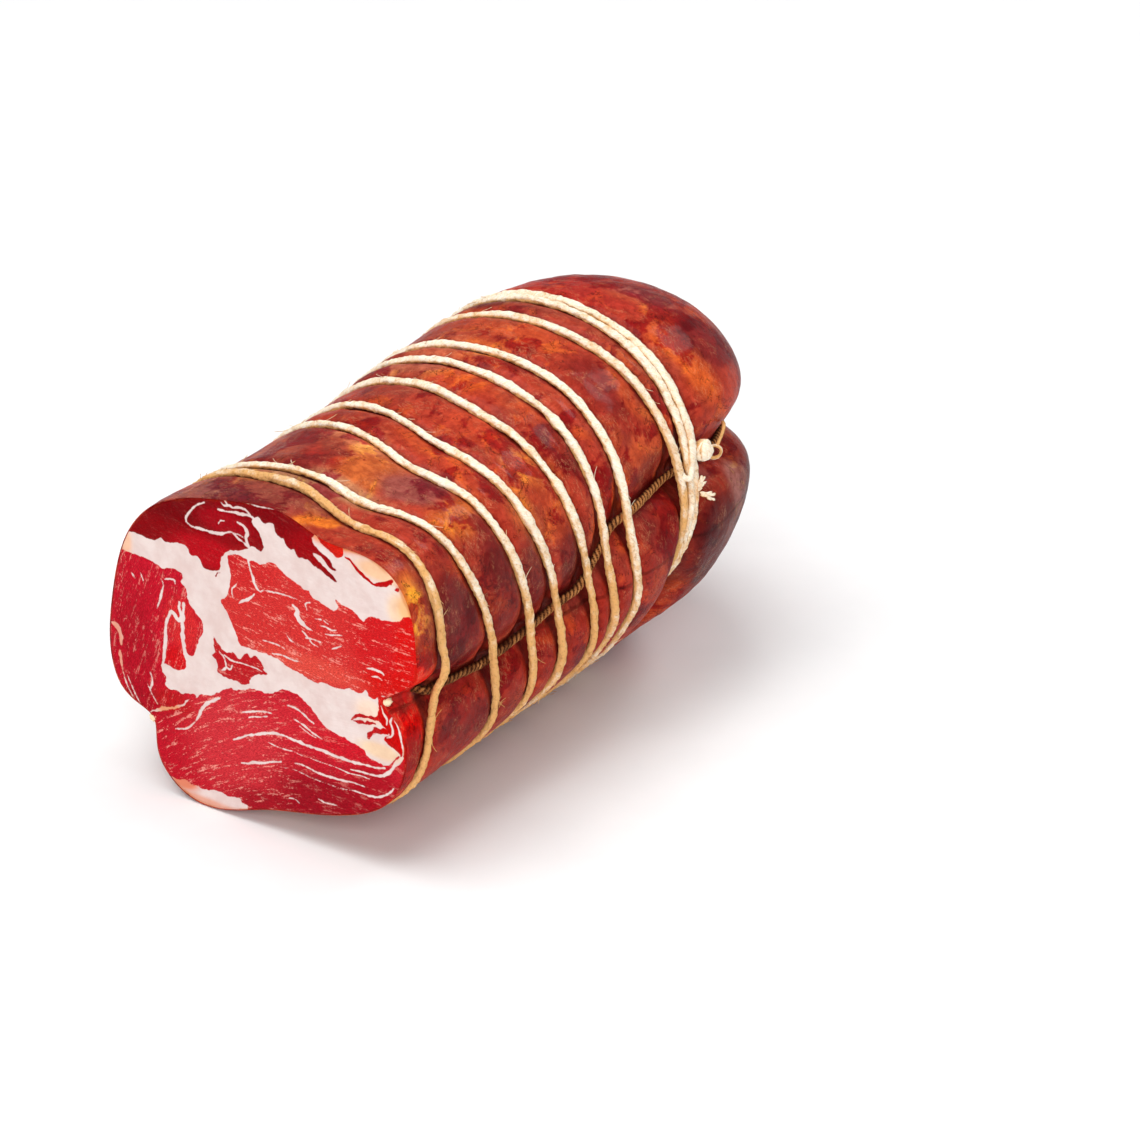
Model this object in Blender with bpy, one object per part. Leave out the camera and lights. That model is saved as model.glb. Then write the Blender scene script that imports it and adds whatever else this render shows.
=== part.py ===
# A cut coppa: cured pork neck, tied round with twine, lying on its flattened underside.
# Metres, +Z up. The log runs along X: the cut face looks to -X, the domed end to +X.
# Round the section, angles start at the right side (-Y, seen from the cut) and climb over the top.
# Distances along the log, called stations, start at the cut face.
import math

import bmesh
import bpy
import numpy as np

MM = 0.001

# The log as a whole
LENGTH = 0.168
CUT_X = -0.0843
CENTRE_Y = -0.0002
CORE_HEIGHT = 0.046          # the section's centre above the table, at the cut
REAR_GROWTH = 0.06           # the far end is this much larger than the cut
GROWTH_LENGTH = 0.153

# Section: a round radius and named bulges, given at these stations
STATIONS = (0.0, 0.036, 0.0675, 0.090, 0.117, 0.144)
ROUND_RADIUS = (0.0417, 0.0428, 0.0441, 0.0446, 0.0446, 0.0455)
BULGES = {
    # name: (angles at the stations, half width in degrees, heights in millimetres)
    "shoulder": ((48, 46, 46, 48, 48, 44), 35, (14.4, 8.1, 3.6, 2.7, 2.7, 5.4)),
    "right_edge": ((12, 12, 12, 12, 12, 12), 6, (2.5, 0, 0, 0, 0, 0)),
    "left_top": ((144, 138, 128, 120, 115, 110), 35, (7.9, 3.2, 1.4, 2.7, 3.0, 2.0)),
    "left_side": ((201, 200, 200, 200, 200, 200), 28, (8.6, 6.3, 5.4, 4.5, 3.6, 3.6)),
    "left_foot": ((240, 238, 238, 240, 240, 240), 20, (9.0, 8.1, 6.3, 5.4, 4.5, 3.6)),
    "right_foot": ((323, 315, 310, 310, 310, 310), 16, (2.9, 0.9, -0.9, -1.8, -2.4, -2.0)),
    "underside": ((280, 275, 270, 270, 270, 270), 26, (-2.7, 0.9, 3.6, 4.5, 4.5, 3.6)),
    "top_hollow": ((64, 70, 75, 75, 75, 75), 15.6, (-7.3, -3.6, -0.9, 0, 0, 0)),
    "right_lower": ((338, 338, 345, 355, 358, 360), 14, (2.3, 2.7, 2.7, 2.7, 2.7, 1.4)),
}

# Creases between the muscles: they climb towards the far end and meet over it as a cleft
CREASE_WIDTH = 8.0           # half width in degrees
RIGHT_CREASE = ((4, 0, 5, 19, 21, 19), (8.6, 6.3, 5.6, 5.6, 6.3, 9.0))
LEFT_CREASE = ((215, 205, 190, 172, 162, 161), (5.8, 5.6, 5.6, 5.6, 6.3, 9.0))
CREASE_DIP = 0.15            # taut twine follows only this share of a crease's depth

# Domed far end
DOME_START = 0.115
DOME_POWER = 2.3             # of the superellipse along the log
LOWER_POWER, UPPER_POWER = 2.2, 3.7
UPPER_LOBE_ANGLE, UPPER_LOBE_WIDTH = 62, 52
CLEFT_HEIGHT, CLEFT_HALF, CLEFT_DEPTH = 0.062, 0.0072, 0.0108
LOWER_LOBE_HEIGHT, LOWER_LOBE_HALF, LOWER_LOBE_OUT = 0.027, 0.018, 0.0050

# Twine loops
TWINE_RADIUS = 0.0011
GAP = 0.0003
GROOVE_DEPTH, GROOVE_HALF = 0.0016, 0.0025
CHANNEL_HEIGHT = 0.0038      # grooves under the log, where it lies on the table
TWINE_FLOOR = 0.00015        # the twine stays this far above the table
LOOP_ANGLES = 60             # each loop is given by its station every so many degrees
LOOPS = {
    # name: stations in millimetres from the right side, over the top, round to the underside
    "twine_loop_1": (9.5, 11, 17, 18, 12.6, 4.5),
    "twine_loop_2": (34.5, 21.5, 22.5, 27, 32, 36.5),
    "twine_loop_3": (49.3, 41, 48.5, 50, 50, 50),
    "twine_loop_4": (60.5, 53.3, 59.8, 58.5, 59, 60),
    "twine_loop_5": (73.5, 71, 74.3, 75, 74.5, 75),
    "twine_loop_6": (81, 84.8, 84.5, 85.5, 86, 86.5),
    "twine_loop_7": (90.5, 95.5, 92.8, 95, 96, 94.5),
    "twine_loop_8": (113.0, 115, 111, 112.5, 110.7, 105),
    "twine_loop_9a": (115.7, 122.9, 122.3, 121.2, 116.7, 108.3),
    "twine_loop_9b": (118.4, 125.6, 125, 124, 119.5, 111.6),
}
# The tight loops at the far end bite deeper and wider, most at this angle
SUNK_LOOPS = ("twine_loop_8", "twine_loop_9a", "twine_loop_9b")
SUNK_EXTRA, SUNK_SPREAD = 0.0060, 0.0022
SUNK_ANGLE, SUNK_WIDTH = 325, 32
# and slant towards the cut where they cross the right crease
CROSSING_ANGLE, CROSSING_WIDTH, CROSSING_SHIFT = 354, 14, 0.0055

# Lengthwise twine, and the knot in the far end of the right crease
LENGTHWISE_RADIUS, LENGTHWISE_LIFT, LENGTHWISE_START = 0.0011, 0.0008, 0.0004
KNOT_STATION, KNOT_CLEAR, KNOT_DIP = 0.127, 0.0004, 0.6
KNOT_RADIUS, KNOT_COIL, KNOT_PITCH, KNOT_TURNS = 0.0008, 0.0017, 0.0020, 2.5
BOW_HALF_LENGTH, BOW_HALF_WIDTH = 0.0027, 0.0023
TAIL_ANGLE, TAIL_DRIFT, TAIL_CURL = 9, -0.0008, 0.0010
TAIL_POINTS, COIL_POINTS, BOW_POINTS = 6, 10, 14

# Mesh density
COLUMNS = 48
CREASE_CROWDING = 0.45       # columns sit closer together beside the creases
TWINE_SIDES_LEVEL = 1        # this level makes six sides
GROOVE_EDGE, GROOVE_LIP = 0.0015, 0.0040   # rows this far each side of a loop
WIDE_GAP = 0.011             # wider bands of meat between loops get a middle row
DOME_ROWS = 8
POLE_SCALE = 0.10            # the last ring's size before the dome closes
SIDE_POINTS, END_POINTS = 26, 6   # of each half of the lengthwise twine

COLOURS = {
    "cured_casing": ((0.21, 0.030, 0.016, 1.0), 0.38),
    "cut_meat": ((0.42, 0.035, 0.045, 1.0), 0.45),
    "twine": ((0.80, 0.62, 0.40, 1.0), 0.85),
    "soaked_twine": ((0.30, 0.13, 0.04, 1.0), 0.75),
}


def ease(t):
    # Smooth step from 0 to 1
    t = np.clip(t, 0.0, 1.0)
    return t * t * (3.0 - 2.0 * t)


def along(values, station):
    # Values given at the stations, eased between them and constant past the last
    result = np.full(np.shape(station), float(values[0]))
    for i in range(len(STATIONS) - 1):
        t = (station - STATIONS[i]) / (STATIONS[i + 1] - STATIONS[i])
        result = result + (values[i + 1] - values[i]) * ease(t)
    return result


def hump(distance, half_width):
    # Bell curve, 1 at the middle
    return np.exp(-(distance / half_width) ** 2)


def angle_between(a, b):
    # Signed difference of two angles in degrees, within half a turn
    return (a - b + 180.0) % 360.0 - 180.0


def column_angle(column, station):
    # Columns run along the log. Column 0 is the right crease, and half way round is the left one.
    right = along(RIGHT_CREASE[0], station)
    left = along(LEFT_CREASE[0], station)
    half = (2.0 * column) % 1.0
    crowded = half - CREASE_CROWDING * np.sin(2 * np.pi * half) / (2 * np.pi)
    over = right + (left - right) * crowded
    under = left + (right + 360.0 - left) * crowded
    return np.where(column % 1.0 < 0.5, over, under)


def loop_station(name, angle):
    # A loop's station at any angle: a Catmull-Rom curve through its six values, in metres
    place = (angle % 360.0) / LOOP_ANGLES
    index = np.floor(place).astype(int)
    t = place - index
    values = np.array(LOOPS[name]) * MM
    p0, p1, p2, p3 = (values[(index + k) % len(values)] for k in (-1, 0, 1, 2))
    station = 0.5 * (2 * p1 + (p2 - p0) * t + (2 * p0 - 5 * p1 + 4 * p2 - p3) * t ** 2
                     + (3 * p1 - p0 - 3 * p2 + p3) * t ** 3)
    if name in SUNK_LOOPS:
        station = station - CROSSING_SHIFT * hump(angle_between(angle, CROSSING_ANGLE),
                                                  CROSSING_WIDTH)
    return station


def groove(angle, station):
    # Depth that the twine presses into the meat, and how fully a point lies in a groove
    depth = np.zeros(np.shape(station))
    share = np.zeros(np.shape(station))
    for name in LOOPS:
        deep, half = GROOVE_DEPTH, GROOVE_HALF
        if name in SUNK_LOOPS:
            sunk = hump(angle_between(angle, SUNK_ANGLE), SUNK_WIDTH)
            deep, half = deep + SUNK_EXTRA * sunk, half + SUNK_SPREAD * sunk
        near = hump(station - loop_station(name, angle), half)
        depth = np.maximum(depth, deep * near)
        share = np.maximum(share, near)
    return depth, share


def section_radius(angle, station, crease_share):
    # Round radius plus the bulges, less the two creases
    radius = along(ROUND_RADIUS, station)
    for angles, width, heights in BULGES.values():
        radius = radius + MM * along(heights, station) * hump(
            angle_between(angle, along(angles, station)), width)
    for angles, depths in (RIGHT_CREASE, LEFT_CREASE):
        radius = radius - crease_share * MM * along(depths, station) * hump(
            angle_between(angle, along(angles, station)), CREASE_WIDTH)
    return radius


def surface(angle, station, crease_share=1.0, groove_share=1.0, channels=True):
    # Points of the log's skin as X, Y, Z in metres, for arrays of angles and stations
    angle, station = np.broadcast_arrays(np.asarray(angle, float), np.asarray(station, float))
    depth, in_groove = groove(angle, station)
    growth = 1.0 + REAR_GROWTH * np.clip(station / GROWTH_LENGTH, 0.0, 1.0)
    reach = np.clip((station - DOME_START) / (LENGTH - DOME_START), 0.0, 1.0)
    turn = np.arcsin(reach ** (DOME_POWER / 2.0))
    upper = hump(angle_between(angle, UPPER_LOBE_ANGLE), UPPER_LOBE_WIDTH)
    power = LOWER_POWER + (UPPER_POWER - LOWER_POWER) * upper
    dome = np.cos(turn) ** (2.0 / power)
    radius = section_radius(angle, station, crease_share) - groove_share * depth
    radius = radius * dome * growth
    core = CORE_HEIGHT * growth
    core = core + (CLEFT_HEIGHT - core) * (1.0 - dome)
    turned = np.radians(angle)
    y = -radius * np.cos(turned)
    z = core + radius * np.sin(turned)
    bottom = CHANNEL_HEIGHT * in_groove if channels else 0.0
    z = np.maximum(z, bottom)
    end = np.sin(turn) ** 2
    cleft = crease_share * CLEFT_DEPTH * hump(z - CLEFT_HEIGHT, CLEFT_HALF)
    lobe = LOWER_LOBE_OUT * hump(z - LOWER_LOBE_HEIGHT, LOWER_LOBE_HALF)
    x = station + end * (lobe - cleft)
    return np.stack([x + CUT_X, y + CENTRE_Y, z], axis=-1)


def skin_normal(angle, station, crease_share):
    # Outward direction of the ungrooved skin
    around = (surface(angle + 1.0, station, crease_share, 0.0, False)
              - surface(angle - 1.0, station, crease_share, 0.0, False))
    ahead = (surface(angle, np.minimum(station + 0.001, LENGTH), crease_share, 0.0, False)
             - surface(angle, station - 0.001, crease_share, 0.0, False))
    normal = np.cross(ahead, around)
    return normal / np.linalg.norm(normal, axis=-1, keepdims=True)


def principled(name):
    # A plain material with this colour and roughness
    colour, roughness = COLOURS[name]
    material = bpy.data.materials.new(name)
    material.use_nodes = True
    shader = material.node_tree.nodes["Principled BSDF"]
    shader.inputs["Base Color"].default_value = colour
    shader.inputs["Roughness"].default_value = roughness
    return material


def row_shares(gap):
    # Where rows lie between one loop and the next: beside each loop, on the lips, and mid way
    shares = [0.0, min(GROOVE_EDGE / gap, 0.27), min(GROOVE_LIP / gap, 0.42)]
    if gap > WIDE_GAP:
        shares.append(0.5)
    return shares + [1.0 - shares[2], 1.0 - shares[1]]


def body_rows(columns):
    # Stations of every ring of the body, one row of values a ring, following the loops' slant
    names = list(LOOPS)
    nominal = [np.mean(LOOPS[name]) * MM for name in names]
    angle = [column_angle(columns, n) for n in nominal]
    lines = [np.zeros(len(columns))]
    lines += [loop_station(name, a) for name, a in zip(names, angle)]
    rows = []
    for start, end in zip(lines[:-1], lines[1:]):
        gap = float(np.mean(end - start))
        rows += [start + share * (end - start) for share in row_shares(gap)]
    last = lines[-1]
    lip = last + GROOVE_LIP
    rows += [last, last + GROOVE_EDGE, lip]
    turn_end = math.acos(POLE_SCALE)
    for k in range(1, DOME_ROWS + 1):
        # Even turns round the dome, from the last loop to the pole
        reach = np.clip((lip - DOME_START) / (LENGTH - DOME_START), 0.0, 1.0)
        turn = np.arcsin(reach ** (DOME_POWER / 2.0))
        turn = turn + (turn_end - turn) * k / DOME_ROWS
        rows.append(DOME_START + (LENGTH - DOME_START) * np.sin(turn) ** (2.0 / DOME_POWER))
    return np.array(rows)


def build_body(collection):
    # The meat: rings lofted from the cut face to the domed end
    columns = np.arange(COLUMNS) / COLUMNS
    rows = body_rows(columns)
    points = surface(column_angle(columns[None, :], rows), rows)
    mesh_builder = bmesh.new()
    rings = [[mesh_builder.verts.new(p) for p in ring] for ring in points]
    face_centre = mesh_builder.verts.new((CUT_X, CENTRE_Y, CORE_HEIGHT))
    pole = mesh_builder.verts.new(surface(np.array([0.0]), np.array([LENGTH]))[0])
    for ring, following in zip(rings[:-1], rings[1:]):
        for j in range(COLUMNS):
            k = (j + 1) % COLUMNS
            mesh_builder.faces.new((ring[j], ring[k], following[k], following[j]))
    for j in range(COLUMNS):
        k = (j + 1) % COLUMNS
        cut = mesh_builder.faces.new((face_centre, rings[0][k], rings[0][j]))
        cut.material_index = 1
        mesh_builder.faces.new((pole, rings[-1][j], rings[-1][k]))
    bmesh.ops.recalc_face_normals(mesh_builder, faces=mesh_builder.faces)
    mesh = bpy.data.meshes.new("coppa_body")
    mesh_builder.to_mesh(mesh)
    mesh_builder.free()
    mesh.materials.append(principled("cured_casing"))
    mesh.materials.append(principled("cut_meat"))
    mesh.shade_smooth()
    mesh.set_sharp_from_angle(angle=math.radians(50))
    body = bpy.data.objects.new("coppa_body", mesh)
    collection.objects.link(body)
    return body


def tube(collection, name, points, radius, closed, material):
    # A length of twine: a round curve through the points
    curve = bpy.data.curves.new(name, "CURVE")
    curve.dimensions = "3D"
    curve.bevel_depth = radius
    curve.bevel_resolution = TWINE_SIDES_LEVEL
    curve.use_fill_caps = not closed
    spline = curve.splines.new("POLY")
    spline.points.add(len(points) - 1)
    for target, point in zip(spline.points, points):
        target.co = (*point, 1.0)
    spline.use_cyclic_u = closed
    curve.materials.append(material)
    twine = bpy.data.objects.new(name, curve)
    collection.objects.link(twine)
    return twine


def loop_path(name):
    # Centre line of a loop: in its groove, taut over the creases, and clear of the table
    columns = np.arange(COLUMNS) / COLUMNS
    station = loop_station(name, column_angle(columns, np.mean(LOOPS[name]) * MM))
    angle = column_angle(columns, station)
    path = surface(angle, station, CREASE_DIP, 1.0, False)
    path = path + skin_normal(angle, station, CREASE_DIP) * (TWINE_RADIUS + GAP)
    path[:, 2] = np.maximum(path[:, 2], TWINE_RADIUS + TWINE_FLOOR)
    return path


def lengthwise_path():
    # Centre line from the cut, in the right crease, over the cleft and back along the left crease
    stations = np.linspace(LENGTHWISE_START, KNOT_STATION, SIDE_POINTS)
    turn_start = math.asin(((KNOT_STATION - DOME_START) / (LENGTH - DOME_START)) ** (DOME_POWER / 2))
    turns = np.linspace(turn_start, math.acos(POLE_SCALE), END_POINTS + 1)[1:]
    over = DOME_START + (LENGTH - DOME_START) * np.sin(turns) ** (2.0 / DOME_POWER)
    side = np.concatenate([stations, over])
    halves = []
    for crease in (RIGHT_CREASE, LEFT_CREASE):
        angle = along(crease[0], side)
        floor = surface(angle, side, 1.0, 0.0, False)
        halves.append(floor + skin_normal(angle, side, 1.0) * (LENGTHWISE_RADIUS + LENGTHWISE_LIFT))
    return np.concatenate([halves[0], halves[1][::-1]])


def over_skin(angle, station, lift):
    # A point this far above the skin, where the knot settles part way into the crease
    at, along_log = np.array([angle]), np.array([station])
    skin = surface(at, along_log, KNOT_DIP, 0.0, False)
    return (skin + skin_normal(at, along_log, KNOT_DIP) * lift)[0]


def knot_path():
    # Centre line of the knot: a tail lying down the side, a coil, then an open bow
    crease = float(along(RIGHT_CREASE[0], KNOT_STATION))
    lying = KNOT_RADIUS + GAP + KNOT_CLEAR
    coil_start = KNOT_STATION - KNOT_PITCH * KNOT_TURNS / 2
    coil_end = KNOT_STATION + KNOT_PITCH * KNOT_TURNS / 2
    coil_angle = math.degrees(KNOT_COIL / ROUND_RADIUS[-1])
    bow_angle = math.degrees(BOW_HALF_WIDTH / ROUND_RADIUS[-1])
    points = []
    for k in range(TAIL_POINTS):
        t = 1.0 - k / TAIL_POINTS
        points.append(over_skin(crease - TAIL_ANGLE * t, coil_start + TAIL_DRIFT * t,
                                lying + TAIL_CURL * t ** 3))
    steps = round(COIL_POINTS * KNOT_TURNS)
    for k in range(steps):
        turn = 2 * math.pi * k / COIL_POINTS
        points.append(over_skin(crease + coil_angle * math.sin(turn),
                                coil_start + KNOT_PITCH * k / COIL_POINTS,
                                lying + KNOT_COIL * (1 - math.cos(turn))))
    for k in range(BOW_POINTS - 1):
        # The bow leaves the top of the coil, and sinks to its middle as it comes round
        turn = 2 * math.pi * k / BOW_POINTS
        points.append(over_skin(crease - bow_angle * math.sin(turn),
                                coil_end + BOW_HALF_LENGTH * (1 - math.cos(turn)),
                                lying + KNOT_COIL * (2 - float(ease(turn / math.pi)))))
    return points


def main():
    for item in list(bpy.data.objects):
        bpy.data.objects.remove(item, do_unlink=True)
    collection = bpy.data.collections.new("coppa")
    bpy.context.scene.collection.children.link(collection)
    build_body(collection)
    twine = principled("twine")
    for name in LOOPS:
        tube(collection, name, loop_path(name), TWINE_RADIUS, True, twine)
    tube(collection, "twine_lengthwise", lengthwise_path(), LENGTHWISE_RADIUS, False,
         principled("soaked_twine"))
    tube(collection, "twine_knot", knot_path(), KNOT_RADIUS, False, twine)


main()
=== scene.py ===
import math
from functools import partial

import bpy
import numpy as np
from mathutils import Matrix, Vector


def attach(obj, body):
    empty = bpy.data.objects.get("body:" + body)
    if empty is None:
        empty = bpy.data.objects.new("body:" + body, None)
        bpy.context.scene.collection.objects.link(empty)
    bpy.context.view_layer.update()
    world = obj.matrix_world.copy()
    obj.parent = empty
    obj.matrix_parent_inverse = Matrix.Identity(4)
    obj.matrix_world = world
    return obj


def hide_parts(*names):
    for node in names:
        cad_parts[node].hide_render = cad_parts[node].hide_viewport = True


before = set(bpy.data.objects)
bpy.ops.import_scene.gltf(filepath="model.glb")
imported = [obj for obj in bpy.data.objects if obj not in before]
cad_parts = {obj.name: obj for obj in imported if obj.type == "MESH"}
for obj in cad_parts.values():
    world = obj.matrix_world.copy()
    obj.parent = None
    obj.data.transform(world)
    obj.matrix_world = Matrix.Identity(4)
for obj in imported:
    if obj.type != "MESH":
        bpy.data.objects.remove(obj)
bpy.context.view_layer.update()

mm = 0.001


def ease(t):  # smooth step: 3t^2 - 2t^3 between 0 and 1
    t = np.clip(t, 0.0, 1.0)
    return t * t * (3.0 - 2.0 * t)


def hump(distance, halfWidth):  # bell curve e^-(d/w)^2
    return np.exp(-(distance / halfWidth) ** 2)


def angleBetween(a, b):  # signed difference of two angles in degrees, within half a turn
    return (a - b + 180.0) % 360.0 - 180.0


def colour(red, green, blue):  # screen colour 0-255 to the linear values that nodes use
    c = np.array([red, green, blue]) / 255.0
    return np.where(c <= 0.04045, c / 12.92, ((c + 0.055) / 1.055) ** 2.4)


noiseCells = 97  # the noise repeats after this many cells


def softNoise(u, v, seed, wrap=noiseCells):
    # Random heights at whole-number places, blended with smooth steps; u repeats after wrap cells
    heights = np.random.default_rng(seed).uniform(-1.0, 1.0, (wrap, noiseCells))
    column, row = np.floor(u).astype(int), np.floor(v).astype(int)
    across, up = ease(u - column), ease(v - row)
    left, right = column % wrap, (column + 1) % wrap
    low, high = row % noiseCells, (row + 1) % noiseCells
    lowHeight = heights[left, low] + (heights[right, low] - heights[left, low]) * across
    highHeight = heights[left, high] + (heights[right, high] - heights[left, high]) * across
    return lowHeight * (1 - up) + highHeight * up


def curveSpan(p0, p1, p2, p3, t):
    # Catmull-Rom: from p1 to p2 as t goes from 0 to 1, steered by the neighbours p0 and p3
    return 0.5 * (2 * p1 + (p2 - p0) * t + (2 * p0 - 5 * p1 + 4 * p2 - p3) * t ** 2
                  + (3 * p1 - p0 - 3 * p2 + p3) * t ** 3)


def smoothLine(points, steps=5, closed=False):
    # Catmull-Rom curve through given points, steps to a span
    p = np.array(points, float)
    n = len(p)
    t = np.arange(steps)[None, :, None] / steps
    spans = np.arange(n if closed else n - 1)[:, None] + np.arange(-1, 3)
    near = p[spans % n if closed else np.clip(spans, 0, n - 1)]
    curve = curveSpan(*(near[:, k, None] for k in range(4)), t).reshape(-1, p.shape[1])
    return curve if closed else np.concatenate([curve, p[-1:]])


# the log's own shape, the same surface as the solids
logShape = {
    "length": 0.168, "cutX": -0.0843, "centreY": -0.0002, "coreHeight": 0.046,
    "rearGrowth": 0.06, "growthLength": 0.153,
    "stations": (0.0, 0.036, 0.0675, 0.090, 0.117, 0.144),
    "roundRadius": (0.0417, 0.0428, 0.0441, 0.0446, 0.0446, 0.0455),
    "bulges": (  # angles at the stations, half width in degrees, heights in mm
        ((48, 46, 46, 48, 48, 44), 35, (14.4, 8.1, 3.6, 2.7, 2.7, 5.4)),
        ((12, 12, 12, 12, 12, 12), 6, (2.5, 0, 0, 0, 0, 0)),
        ((144, 138, 128, 120, 115, 110), 35, (7.9, 3.2, 1.4, 2.7, 3.0, 2.0)),
        ((201, 200, 200, 200, 200, 200), 28, (8.6, 6.3, 5.4, 4.5, 3.6, 3.6)),
        ((240, 238, 238, 240, 240, 240), 20, (9.0, 8.1, 6.3, 5.4, 4.5, 3.6)),
        ((323, 315, 310, 310, 310, 310), 16, (2.9, 0.9, -0.9, -1.8, -2.4, -2.0)),
        ((280, 275, 270, 270, 270, 270), 26, (-2.7, 0.9, 3.6, 4.5, 4.5, 3.6)),
        ((64, 70, 75, 75, 75, 75), 15.6, (-7.3, -3.6, -0.9, 0, 0, 0)),
        ((338, 338, 345, 355, 358, 360), 14, (2.3, 2.7, 2.7, 2.7, 2.7, 1.4)),
    ),
    "creaseWidth": 8.0,
    "rightCrease": ((4, 0, 5, 19, 21, 19), (8.6, 6.3, 5.6, 5.6, 6.3, 9.0)),
    "leftCrease": ((215, 205, 190, 172, 162, 161), (5.8, 5.6, 5.6, 5.6, 6.3, 9.0)),
    "creaseFill": (0.35, 0.012, 0.095, 0.020),  # share filled on the right, start, stop, fade
    "domeStart": 0.115, "domePower": 2.3, "lowerPower": 2.2, "upperPower": 3.7,
    "upperLobe": (62, 52), "cleft": (0.062, 0.0072, 0.0108), "lowerLobe": (0.027, 0.018, 0.0050),
}

loops = {  # stations in mm every 60 degrees: right side, over the top, round to the underside
    "twine_loop_1": (10.6, 11, 17, 18, 12.6, 6.4),
    "twine_loop_2": (34.5, 21.5, 22.5, 27, 32, 36.5),
    "twine_loop_3": (49.3, 41, 48.5, 50, 50, 50),
    "twine_loop_4": (60.5, 53.3, 59.8, 58.5, 59, 60),
    "twine_loop_5": (73.5, 71, 74.3, 75, 74.5, 75),
    "twine_loop_6": (81, 84.8, 84.5, 85.5, 86, 86.5),
    "twine_loop_7": (90.5, 95.5, 92.8, 95, 96, 94.5),
    "twine_loop_8": (113.0, 115, 111, 112.5, 110.7, 105),
    "twine_loop_9a": (115.7, 122.9, 122.3, 121.2, 116.7, 108.3),
    "twine_loop_9b": (118.4, 125.6, 125, 124, 119.5, 111.6),
}
loopSettings = {
    "radius": 0.0011, "gap": 0.0003, "grooveDepth": 0.0016, "grooveHalf": 0.0025,
    "channelHeight": 0.0038, "floorGap": 0.00015, "creaseDip": 0.05,
    "sunk": ("twine_loop_8", "twine_loop_9a", "twine_loop_9b"),  # these bite deeper and wider
    "sunkExtra": 0.0060, "sunkSpread": 0.0022, "sunkAngle": 325, "sunkWidth": 32,
    "crossingAngle": 354, "crossingWidth": 14, "crossingShift": 0.0055,
    "gather": {"twine_loop_8": 0.0026, "twine_loop_9a": 0.0015, "twine_loop_9b": 0.0004},
    "gatherAngle": 350, "gatherWidth": 30,
    "pitch": 0.0072, "sides": 24, "rowLength": 0.00045, "plyDepth": 0.15, "wobble": 0.00018,
    "wander": 0.00022,
    "sink": 0.0004,  # the dressed twine beds this much deeper than the solid one
    "soakBelow": (0.078, 0.035), "soakSide": (0.010, 0.03),  # height and side where it starts, fade
}


def along(values, station):
    # Values given at the stations, eased from one to the next and constant past the last
    places = logShape["stations"]
    result = np.full(np.shape(station), float(values[0]))
    for i in range(len(places) - 1):
        result = result + (values[i + 1] - values[i]) * ease(
            (station - places[i]) / (places[i + 1] - places[i]))
    return result


def loopStation(name, angle):
    # A closed Catmull-Rom curve through the six stations of a loop, in metres; the tight loops
    # slant towards the cut where they cross the right crease and are drawn together there, by bells
    place = (angle % 360.0) / 60.0
    index = np.floor(place).astype(int)
    t = place - index
    values = np.array(loops[name]) * mm
    station = curveSpan(*(values[(index + k) % len(values)] for k in (-1, 0, 1, 2)), t)
    if name in loopSettings["sunk"]:
        station = station - loopSettings["crossingShift"] * hump(
            angleBetween(angle, loopSettings["crossingAngle"]), loopSettings["crossingWidth"])
        station = station + loopSettings["gather"][name] * hump(
            angleBetween(angle, loopSettings["gatherAngle"]), loopSettings["gatherWidth"])
    return station


def grooves(angle, station):
    # Depth pressed in by the twine, and share 0-1 of lying in a groove: the highest of the bells
    # that stand at the loops
    depth = np.zeros(np.shape(station))
    share = np.zeros(np.shape(station))
    t = loopSettings
    for name in loops:
        deep, half = t["grooveDepth"], t["grooveHalf"]
        if name in t["sunk"]:
            sunk = hump(angleBetween(angle, t["sunkAngle"]), t["sunkWidth"])
            deep, half = deep + t["sunkExtra"] * sunk, half + t["sunkSpread"] * sunk
        near = hump(station - loopStation(name, angle), half)
        depth = np.maximum(depth, deep * near)
        share = np.maximum(share, near)
    return depth, share


def sectionRadius(angle, station, creaseShare):
    # Round radius plus bells for the bulges, less bells for the two creases. The casing bridges the
    # right crease by a share that eases in after the cut and out before the far end.
    radius = along(logShape["roundRadius"], station)
    for angles, width, heights in logShape["bulges"]:
        radius = radius + mm * along(heights, station) * hump(
            angleBetween(angle, along(angles, station)), width)
    share, start, stop, fade = logShape["creaseFill"]
    filled = share * ease(station / start) * (1 - ease((station - stop) / fade))
    creases = (logShape["rightCrease"], 1 - filled), (logShape["leftCrease"], 1.0)
    for (angles, depths), kept in creases:
        radius = radius - creaseShare * kept * mm * along(depths, station) * hump(
            angleBetween(angle, along(angles, station)), logShape["creaseWidth"])
    return radius


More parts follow.
